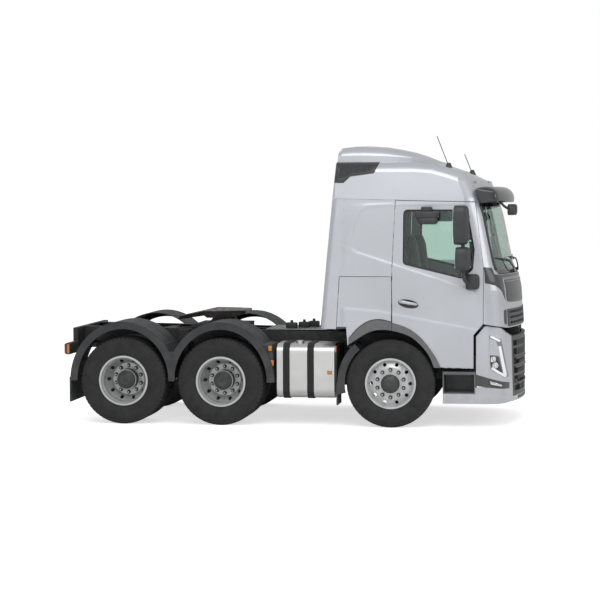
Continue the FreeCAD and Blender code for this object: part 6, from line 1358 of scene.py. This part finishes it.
class TRACTOR_OT_skins(bpy.types.Operator):
    """Pressed skins with their creases on the doors, the sides and the lockers"""

    bl_idname = "tractor.skins"
    bl_label = "Side skins"

    def execute(self, context):
        settings = tool("skin")
        for side, out in SIDES:
            rear_outline = side_outlines("cab_sides", out)[0]
            for node, body in ((f"door_{side}", f"door_{side}"), ("cab_sides", "cab"),
                               (f"locker_lid_{side}", f"locker_lid_{side}")):
                self.skin(settings, node, body, side, out, rear_outline)
        return {"FINISHED"}

    def skin(self, settings, node, body, side, out, rear_outline):
        loops = side_outlines(node, out)
        border = grown(loops[0], -SKIN_EDGE)
        holes = [grown(loop, SKIN_EDGE) for loop in loops[1:]
                 if max(p[0] for p in loop) - min(p[0] for p in loop) > 0.02]
        tree = shell_tree(node)

        def cast(x, z):
            return side_skin(tree, x, z, out)[0], Vector((0, out, 0))

        def rise(x, z):
            return relief(settings, x, z, crossing(rear_outline, z))

        spots = []
        x0, x1 = min(p[0] for p in border), max(p[0] for p in border)
        pitch = settings.pitch
        for i in range(1, int((x1 - x0) / pitch) + 1):
            x = x0 + i * pitch
            low, top = line_height(CREASE_LOW, x), line_height(CREASE_TOP, x)
            rows = round(0.6 / pitch)
            spots += [(x, low - pitch * 0.75 * k) for k in range(1, int(1.0 / pitch / 0.75))]
            spots += [(x, low + (top - low) * k / rows) for k in range(rows)]
            spots += [(x, top + pitch * 0.8 * k) for k in range(int(1.2 / pitch / 0.8))]
        name = f"{node}_skin_{side}" if node == "cab_sides" else f"{node}_skin"
        laid(name, body, "paint", "silver_paint", cast, border, rise, SKIN_WALL, pitch, holes, SKIN_EDGE, spots,
             smooth=38.0)


def crossing(outline, z):
    """The lowest x at which an outline meets a height."""
    best = 9.0
    for (x0, z0), (x1, z1) in zip(outline, outline[1:] + outline[:1]):
        if (z0 > z) != (z1 > z):
            best = min(best, x0 + (x1 - x0) * (z - z0) / (z1 - z0))
    return best if best < 9.0 else min(p[0] for p in outline)


# Roof, chassis and tail

def prism(work, outline, y0, y1):
    """Adds a plate to a bmesh: an (x, z) outline between two places across the truck."""
    rings = [[work.verts.new((x, y, z)) for x, z in outline] for y in (y0, y1)]
    ring_faces(work, rings, ends=True)


class BodySettings(bpy.types.PropertyGroup):
    """Bolts on the rails and the depth of the visor's shade."""

    bolt_pitch: bpy.props.FloatProperty(name="Bolt pitch", description="Distance between bolts on the rails",
                                        default=0.115, min=0.03, unit="LENGTH")
    bolt: bpy.props.FloatProperty(name="Bolt", description="Radius of a rail bolt's head", default=0.011,
                                  min=0.004, unit="LENGTH")
    visor: bpy.props.FloatProperty(name="Visor", description="Depth of the visor's shade", default=0.30,
                                   min=0.1, unit="LENGTH")


class TRACTOR_OT_visor(bpy.types.Operator):
    """Smoked sun visor with rounded ends, and the front mirror on its arm"""

    bl_idname = "tractor.visor"
    bl_label = "Sun visor"

    def execute(self, context):
        depth = tool("body").visor
        tree = shell_tree("sun_visor")
        work = bmesh.new()
        rings = []
        rows = 28
        for row in range(rows + 1):
            share = 2 * row / rows - 1
            y = 1.105 * share
            front = front_skin(tree, y, 2.80)[0].x + 0.020
            end = max(0.0, abs(share) - 0.93) / 0.07
            drop = 0.05 * end
            profile = [(-depth * 0.92, 2.918 - drop), (-depth * 0.55, 2.930 - drop * 1.2), (-0.085, 2.918 - drop),
                       (-0.022, 2.868 - drop * 0.5), (0.004, 2.800), (0.0, 2.742 + drop * 0.6),
                       (-0.016, 2.726 + drop * 0.6), (-0.026, 2.744 + drop * 0.5), (-0.040, 2.80),
                       (-0.075, 2.850 - drop * 0.4), (-depth * 0.55, 2.880 - drop), (-depth * 0.92, 2.890 - drop)]
            rings.append([work.verts.new((front + along * (1 - 0.12 * end), y, z)) for along, z in profile])
        ring_faces(work, rings, ends=True)
        for out in (-1, 1):
            front = front_skin(tree, out * 1.09, 2.80)[0].x + 0.016
            cheek = rounded([(front - 0.270, 2.905), (front - 0.02, 2.868), (front, 2.745),
                             (front - 0.20, 2.715)], 0.035)
            prism(work, cheek, out * 1.096, out * 1.112)
        shade = from_bmesh("sun_shade", work)
        smooth = shade.modifiers.new("soft", "SUBSURF")
        smooth.levels = smooth.render_levels = 1
        keep(plain_mesh(shade), "cab", "visor_smoke", 40.0, ["sun_visor"])
        head = bmesh.new()
        mirror_head(head, (2.645, -0.81, 2.575), (2.762, -0.53, 2.712))
        made("front_mirror", head, "cab", "trim_plastic", 42.0)
        arm = pipe("front_mirror_arm", [(2.50, -0.86, 2.80), (2.56, -0.87, 2.74), (2.63, -0.80, 2.66),
                                        (2.69, -0.70, 2.65)], 0.016)
        keep(arm, "cab", "trim_plastic", 40.0)
        lamps = bmesh.new()
        for y in (-0.86, -0.30, 0.30, 0.86):
            place = front_skin(shell_tree("cab_roof"), y, 2.985)[0]
            rounded_box(lamps, place + Vector((-0.03, -0.036, -0.012)), place + Vector((0.012, 0.036, 0.014)),
                        0.006, 3)
        made("roof_lamps", lamps, "cab", "lamp_body")
        return {"FINISHED"}


class TRACTOR_OT_vents(bpy.types.Operator):
    """Framed mesh of the roof's side vents"""

    bl_idname = "tractor.vents"
    bl_label = "Roof vents"

    def execute(self, context):
        for side, out in SIDES:
            cast = side_cast(shell_tree("roof_vents"), out)
            border = grown(side_outlines("roof_vents", out)[0], -0.003)
            opening = rounded([(0.606, 3.036), (0.645, 3.200), (1.030, 3.203), (0.984, 3.114), (0.776, 3.088),
                               (0.672, 3.042)], 0.016, 3)
            laid(f"vent_frame_{side}", "cab", "dark_plastic", "trim_plastic", cast, border, 0.010, 0.011, 0.03,
                 [opening], 0.003, smooth=40.0)
            laid(f"vent_mesh_{side}", "cab", "black_plastic", "vent_mesh", cast, grown(opening, 0.001), 0.0015,
                 0.0016, 0.03, edge=0, smooth=40.0)
        return {"FINISHED"}


class TRACTOR_OT_chassis(bpy.types.Operator):
    """Rail bolts, guard cheeks, brackets, pipes and the step plate of the chassis"""

    bl_idname = "tractor.chassis"
    bl_label = "Chassis"

    def execute(self, context):
        settings = tool("body")
        tree = shell_tree("frame_rails")
        spots = []
        for out in (-1, 1):
            x = -2.70
            while x < 2.2:
                for drop in (0.045, 0.215):
                    place, normal, _, _ = tree.ray_cast(Vector((x, out * 3.0, 1.142 - drop - (x + 2.7) * 0.0155)),
                                                        Vector((0, -out, 0)))
                    if place is not None and abs(place.y) > 0.42:
                        spots.append((place, (0, out, 0)))
                x += settings.bolt_pitch
        bolts = scattered("rail_bolts", hex_unit("rail_bolt", settings.bolt, 0.010, settings.bolt * 1.4), spots,
                          "frame_paint")
        keep(bolts, "chassis")
        dark = bmesh.new()
        for out in (-1, 1):
            cheek = [(-0.370, 1.000), (-0.222, 0.994), (-0.192, 0.900), (-0.192, 0.711), (-0.212, 0.530),
                     (-0.258, 0.530), (-0.254, 0.620), (-0.270, 0.740), (-0.318, 0.870)]
            prism(dark, cheek, out * 1.205, out * 0.62)
            prism(dark, [(0.569, 0.42), (0.591, 0.42), (0.591, 0.985), (0.569, 0.985)], out * 1.185, out * 0.44)
        keep(plain_mesh(bevel(from_bmesh("guard_cheeks", dark), 0.004)), "chassis",
             "guard_plastic", 35.0)
        plate = bmesh.new()
        rounded_box(plate, (-0.42, -0.40, 1.126), (0.36, 0.40, 1.134), 0.002, 2)
        for i in range(12):
            for j in range(12):
                spot = Vector((-0.385 + i * 0.065, -0.365 + j * 0.0664, 1.1345))
                turn = Matrix.Rotation(math.radians(45 if (i + j) % 2 else -45), 4, "Z")
                rounded_box(plate, spot - Vector((0.016, 0.004, 0.001)), spot + Vector((0.016, 0.004, 0.0015)), 0,
                            turn=turn)
        made("deck_plate", plate, "chassis", "tread_plate", 35.0)
        parts = []
        for y, z, reach in ((0.30, 1.10, 1.9), (0.335, 1.07, 2.1), (-0.32, 1.085, 2.3), (-0.285, 1.06, 1.7)):
            parts.append(pipe("line", [(0.35, y, z), (-0.4, y * 1.03, z - 0.01), (-1.2, y, z + 0.004),
                                       (-reach, y * 0.98, z)], 0.011))
        work = bmesh.new()
        for x, y in ((0.12, 0.16), (-0.12, -0.17), (0.02, -0.02)):
            rounded_box(work, (x - 0.07, y - 0.05, 1.132), (x + 0.07, y + 0.05, 1.205), 0.012, 3)
            rod(work, (x, y, 1.20), (x, y, 1.235), 0.02, 0.017)
        for out in (-1, 1):
            for x in (HUB_X["mid"], HUB_X["rear"]):
                rod(work, (x + 0.15, out * 0.60, 0.70), (x + 0.29, out * 0.60, 0.80), 0.085, sides=28)
                rod(work, (x + 0.29, out * 0.60, 0.80), (x + 0.31, out * 0.60, 0.815), 0.085, 0.05, 28)
                rod(work, (x + 0.05, out * 0.60, 0.63), (x + 0.16, out * 0.60, 0.71), 0.02)
        parts.append(from_bmesh("valves", work))
        keep(joined("air_lines", parts), "chassis", "frame_paint", 40.0)
        self.markers()
        return {"FINISHED"}

    def markers(self):
        """Amber side markers on their brackets, with a reflector on the tank."""
        amber = bmesh.new()
        base = bmesh.new()
        for out in (-1, 1):
            for x, y, z, wide, tall in ((0.580, 1.185, 0.950, 0.010, 0.039), (-0.228, 1.205, 0.955, 0.022, 0.033),
                                        (-0.208, 1.205, 0.775, 0.024, 0.036),
                                        (0.5055, 1.205, 0.663, 0.022, 0.0176)):
                rounded_box(amber, (x - wide, out * y, z - tall), (x + wide, out * (y + 0.014), z + tall),
                            0.005, 3)
                rounded_box(base, (x - wide - 0.004, out * (y - 0.004), z - tall - 0.004),
                            (x + wide + 0.004, out * (y + 0.005), z + tall + 0.004), 0.003)
        made("side_markers", amber, "chassis", "amber_lens")
        made("marker_bases", base, "chassis", "seal_rubber")


class TRACTOR_OT_tail(bpy.types.Operator):
    """Tail lamps with red and amber lenses in black housings"""

    bl_idname = "tractor.tail"
    bl_label = "Tail lamps"

    def execute(self, context):
        for side, out in SIDES:
            near, far = out * 0.76, out * 1.18
            for name, y0, y1, x0, x1, z0, z1, width, steps, slot, finish in (
                    ("housing", near, far, -2.826, -2.768, 0.852, 0.998, 0.012, 4,
                     "black_plastic", "trim_plastic"),
                    ("red", near + out * 0.15, far - out * 0.0015, -2.8415, -2.808, 0.862, 0.988, 0.010, 4,
                     "tail_lamp", "red_lens"),
                    ("clear", near + out * 0.012, near + out * 0.142, -2.8395, -2.81, 0.866, 0.984, 0.008, 3,
                     "tail_lamp", "lamp_body"),
                    ("amber", far - out * 0.02, far + out * 0.0035, -2.806, -2.776, 0.868, 0.982, 0.006, 3,
                     "tail_lamp", "amber_lens")):
                work = bmesh.new()
                rounded_box(work, (x0, y0, z0), (x1, y1, z1), width, steps)
                made(f"tail_{name}_{side}", work, "chassis", finish,
                     replaces=["tail_lamps"] if name == "housing" else ())
        return {"FINISHED"}


SWELL_FRAMES = 16


class SeatSettings(bpy.types.PropertyGroup):
    """How full the seats and the mattress are."""

    pressure: bpy.props.FloatProperty(name="Pressure", description="How hard the padding presses on its cover",
                                      default=4.0, min=0)
    swell: bpy.props.FloatProperty(name="Swell", description="How far a cover may move", default=0.018, min=0,
                                   unit="LENGTH")
    voxel: bpy.props.FloatProperty(name="Voxel", description="Cell size of a pad's cover", default=0.013,
                                   min=0.004, unit="LENGTH")


class TRACTOR_OT_seats(bpy.types.Operator):
    """Padded seats with side bolsters and head rests, and the bunk's mattress"""

    bl_idname = "tractor.seats"
    bl_label = "Seats and bunk"

    def execute(self, context):
        settings = tool("seat")
        for name, y in (("right", -0.56), ("left", 0.56)):
            pads = bmesh.new()
            rounded_box(pads, (1.49, y - 0.235, 1.57), (1.975, y + 0.235, 1.665), 0.035, 4)
            self.padded(settings, f"seat_cushion_{name}", pads, replaces=["seats"])
            back = bmesh.new()
            lean = Matrix.Rotation(math.radians(-7), 4, "Y")
            rounded_box(back, (1.44, y - 0.215, 1.65), (1.54, y + 0.215, 2.26), 0.035, 4, lean)
            rounded_box(back, (1.405, y - 0.13, 2.18), (1.490, y + 0.13, 2.335), 0.03, 4, lean)
            self.padded(settings, f"seat_back_{name}", back)
            bolster = bmesh.new()
            for out in (-1, 1):
                rod(bolster, (1.60, y + out * 0.222, 1.66), (1.95, y + out * 0.222, 1.66), 0.030, sides=20)
                rod(bolster, (1.545, y + out * 0.20, 1.74), (1.478, y + out * 0.20, 2.16), 0.030, sides=20)
            self.padded(settings, f"seat_bolsters_{name}", bolster)
            base = bmesh.new()
            rounded_box(base, (1.55, y - 0.19, 1.27), (1.92, y + 0.19, 1.50), 0.03, 3)
            rounded_box(base, (1.47, y - 0.225, 1.49), (1.97, y + 0.225, 1.585), 0.02, 3)
            made(f"seat_base_{name}", base, "cab", "dash_plastic")
        board = bmesh.new()
        rounded_box(board, (0.487, -1.17, 1.635), (1.127, 1.17, 1.675), 0.008, 2)
        made("bunk_board", board, "cab", "dash_plastic")
        bed = bmesh.new()
        rounded_box(bed, (0.51, -1.15, 1.672), (1.105, 1.15, 1.772), 0.03, 4)
        self.padded(settings, "mattress", bed, 0.024, "mattress_cloth")
        return {"FINISHED"}

    def padded(self, settings, name, work, voxel=None, finish="seat_cloth", replaces=()):
        piece = from_bmesh(name, work)
        mesh = piece.modifiers.new("remesh", "REMESH")
        mesh.mode = "VOXEL"
        mesh.voxel_size = voxel or settings.voxel
        piece = plain_mesh(piece)
        start = [vert.co.copy() for vert in piece.data.vertices]
        cloth = piece.modifiers.new("cloth", "CLOTH")
        cloth.settings.use_pressure = True
        cloth.settings.uniform_pressure_force = settings.pressure
        cloth.settings.quality = 4
        cloth.settings.effector_weights.gravity = 0.0
        cloth.point_cache.frame_start = 1
        cloth.point_cache.frame_end = SWELL_FRAMES
        for step in range(1, SWELL_FRAMES):
            bpy.context.scene.frame_set(step)
        piece = plain_mesh(piece)
        bpy.context.scene.frame_set(1)
        for vert, place in zip(piece.data.vertices, start):
            move = vert.co - place
            if move.length > settings.swell:
                vert.co = place + move.normalized() * settings.swell
        keep(piece, "cab", finish, 60.0, replaces)


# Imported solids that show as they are

class TRACTOR_OT_solids(bpy.types.Operator):
    """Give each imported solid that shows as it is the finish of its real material"""

    bl_idname = "tractor.solids"
    bl_label = "Packed solids"

    def execute(self, context):
        plain = {
            "silver_paint": ("cab_back_wall", "cab_sides", "cab_front", "cab_roof", "roof_deflector", "front_lid",
                             "door_right", "door_left", "locker_lid_right", "locker_lid_left", "bumper",
                             "headlamp_panels"),
            "cabin_trim": ("cab_floor",),
            "dash_plastic": ("dashboard",),
            "seat_cloth": ("seats",),
            "flare_plastic": ("arch_trims", "step_boxes"),
            "trim_plastic": ("roof_vents", "door_fittings_right", "door_fittings_left", "side_boxes",
                             "aerials"),
            "visor_smoke": ("sun_visor",),
            "guard_plastic": ("mudguards",),
            "pane_glass": ("door_glass_right", "door_glass_left", "windscreen"),
            "lamp_body": ("headlamps",),
            "grille_plastic": ("lower_grille", "fog_bands"),
            "red_lens": ("tail_lamps",),
            "frame_paint": ("frame_rails", "cross_members", "suspension", "drive_axles", "front_axle",
                            "knuckle_right", "knuckle_left", "track_rod", "fifth_wheel_base"),
            "engine_paint": ("engine",),
            "greased_steel": ("fifth_wheel_plate",),
            "tank_aluminium": ("fuel_tank",),
            "seal_rubber": ("tank_straps",),
            "tyre_rubber": tuple(f"tyre_{axle}_{side}" for axle in AXLES for side, _ in SIDES),
            "wheel_paint": tuple(f"wheel_{axle}_{side}" for axle in AXLES for side, _ in SIDES),
        }
        for finish, nodes in plain.items():
            for node in nodes:
                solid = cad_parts[node]
                solid.data.materials.clear()
                solid.data.materials.append(FINISHES[finish])
        return {"FINISHED"}


# Stage

FLOOR_GLOW = 0.62


class StageSettings(bpy.types.PropertyGroup):
    """The camera, the lamps and the floor."""

    lens: bpy.props.FloatProperty(name="Lens", description="Focal length on a 36 mm wide sensor", default=109.69,
                                  min=20, unit="CAMERA")
    place: bpy.props.FloatVectorProperty(name="Camera", description="Where the camera stands", size=3,
                                         default=(3.5023, -23.25, 2.7811), subtype="TRANSLATION", unit="LENGTH")
    yaw: bpy.props.FloatProperty(name="Turn", description="Turn of the camera to the rear of the truck",
                                 default=0.15115, subtype="ANGLE", unit="ROTATION")
    dip: bpy.props.FloatProperty(name="Dip", description="Downward tilt of the camera", default=0.05514,
                                 subtype="ANGLE", unit="ROTATION")
    roll: bpy.props.FloatProperty(name="Roll", description="Roll of the camera", default=-0.00358,
                                  subtype="ANGLE", unit="ROTATION")
    key: bpy.props.FloatProperty(name="Key lamp", description="Power of the large lamp over the camera",
                                 default=760.0, min=0, unit="POWER")
    sky: bpy.props.FloatProperty(name="Sky", description="Strength of the even light", default=0.5, min=0)


class TRACTOR_OT_stage(bpy.types.Operator):
    """Pale floor, soft lamps and the camera at the photograph's angle"""

    bl_idname = "tractor.stage"
    bl_label = "Stage"

    def execute(self, context):
        settings = tool("stage")
        scene = context.scene
        yaw, dip = settings.yaw, settings.dip
        forward = Vector((-math.sin(yaw) * math.cos(dip), math.cos(yaw) * math.cos(dip), -math.sin(dip)))
        camera = bpy.data.cameras.new("photo_camera")
        camera.sensor_width = 36.0
        camera.lens = settings.lens
        camera.clip_end = 200.0
        view = bpy.data.objects.new("photo_camera", camera)
        scene.collection.objects.link(view)
        turn = forward.to_track_quat("-Z", "Y").to_matrix().to_4x4()
        view.matrix_world = Matrix.Translation(settings.place) @ turn @ Matrix.Rotation(settings.roll, 4, "Z")
        scene.camera = view
        self.floor()
        middle = Vector((0.0, 0.0, 1.2))
        for name, place, size, power in (
                ("key_lamp", (1.5, -11.0, 12.0), 9.0, settings.key), ("fill_lamp", (-10.0, 6.0, 9.0), 8.0, 300.0),
                ("front_lamp", (12.0, -4.0, 6.0), 6.0, 260.0), ("side_lamp", (0.0, -14.0, 2.5), 9.0, 120.0)):
            light = bpy.data.lights.new(name, "AREA")
            light.size = size
            light.energy = power
            lamp = bpy.data.objects.new(name, light)
            scene.collection.objects.link(lamp)
            lamp.location = place
            lamp.rotation_euler = (middle - Vector(place)).to_track_quat("-Z", "Y").to_euler()
        world = bpy.data.worlds.new("pale_sky")
        world.use_nodes = True
        tree = world.node_tree
        tree.nodes.clear()
        seen = add_node(tree, "ShaderNodeLightPath").outputs
        view = add_node(tree, "ShaderNodeMath", {0: seen["Is Camera Ray"], 1: seen["Is Transmission Ray"]},
                        operation="MAXIMUM")
        strength = add_node(tree, "ShaderNodeMapRange", {"Value": view.outputs[0], "To Min": settings.sky,
                                                         "To Max": 1.0})
        sky = add_node(tree, "ShaderNodeBackground", {"Color": (1.0, 1.0, 1.0, 1.0),
                                                      "Strength": strength.outputs[0]})
        add_node(tree, "ShaderNodeOutputWorld", {"Surface": sky.outputs[0]})
        scene.world = world
        scene.view_settings.view_transform = "Standard"
        return {"FINISHED"}

    def floor(self):
        """A wide pale floor that keeps the soft shadow."""
        work = bmesh.new()
        bmesh.ops.create_grid(work, x_segments=8, y_segments=8, size=60.0)
        floor = from_bmesh("studio_floor", work)
        material = bpy.data.materials.new("pale_floor")
        material.use_nodes = True
        tree = material.node_tree
        shader = tree.nodes["Principled BSDF"]
        shader.inputs["Base Color"].default_value = (0.9, 0.9, 0.9, 1.0)
        shader.inputs["Roughness"].default_value = 0.9
        shader.inputs["Specular IOR Level"].default_value = 0.1
        seen = add_node(tree, "ShaderNodeLightPath").outputs["Is Camera Ray"]
        lift = add_node(tree, "ShaderNodeMath", {0: seen, 1: FLOOR_GLOW}, operation="MULTIPLY").outputs[0]
        tree.links.new(lift, shader.inputs["Emission Strength"])
        shader.inputs["Emission Color"].default_value = (1.0, 1.0, 1.0, 1.0)
        floor.data.materials.append(material)


SETTINGS = (
    ("finish", FinishSettings),
    ("tyre", TyreSettings),
    ("wheel", WheelSettings),
    ("door", DoorSettings),
    ("front", FrontSettings),
    ("skin", SkinSettings),
    ("body", BodySettings),
    ("seat", SeatSettings),
    ("stage", StageSettings),
)
OPERATORS = (
    TRACTOR_OT_finishes,
    TRACTOR_OT_solids,
    TRACTOR_OT_tyres,
    TRACTOR_OT_wheels,
    TRACTOR_OT_panes,
    TRACTOR_OT_handles,
    TRACTOR_OT_mirrors,
    TRACTOR_OT_flares,
    TRACTOR_OT_skins,
    TRACTOR_OT_front,
    TRACTOR_OT_lamps,
    TRACTOR_OT_visor,
    TRACTOR_OT_vents,
    TRACTOR_OT_chassis,
    TRACTOR_OT_tail,
    TRACTOR_OT_seats,
    TRACTOR_OT_stage,
)


class TRACTOR_PT_panel(bpy.types.Panel):
    """The builder's steps and settings in the sidebar."""

    bl_label = "Tractor unit"
    bl_space_type = "VIEW_3D"
    bl_region_type = "UI"
    bl_category = "Tractor unit"

    def draw(self, context):
        for operator in OPERATORS:
            self.layout.operator(operator.bl_idname)
        for name, group in SETTINGS:
            box = self.layout.box()
            for field in group.__annotations__:
                box.prop(getattr(context.scene, "tractor_" + name), field)


def register():
    for group in [group for _, group in SETTINGS] + list(OPERATORS) + [TRACTOR_PT_panel]:
        bpy.utils.register_class(group)
    for name, group in SETTINGS:
        setattr(bpy.types.Scene, "tractor_" + name, bpy.props.PointerProperty(type=group))


def unregister():
    for name, _ in SETTINGS:
        delattr(bpy.types.Scene, "tractor_" + name)
    for group in reversed([group for _, group in SETTINGS] + list(OPERATORS) + [TRACTOR_PT_panel]):
        bpy.utils.unregister_class(group)


def main():
    register()
    for operator in OPERATORS:
        group, name = operator.bl_idname.split(".")
        getattr(getattr(bpy.ops, group), name)()


if __name__ == "__main__":
    main()
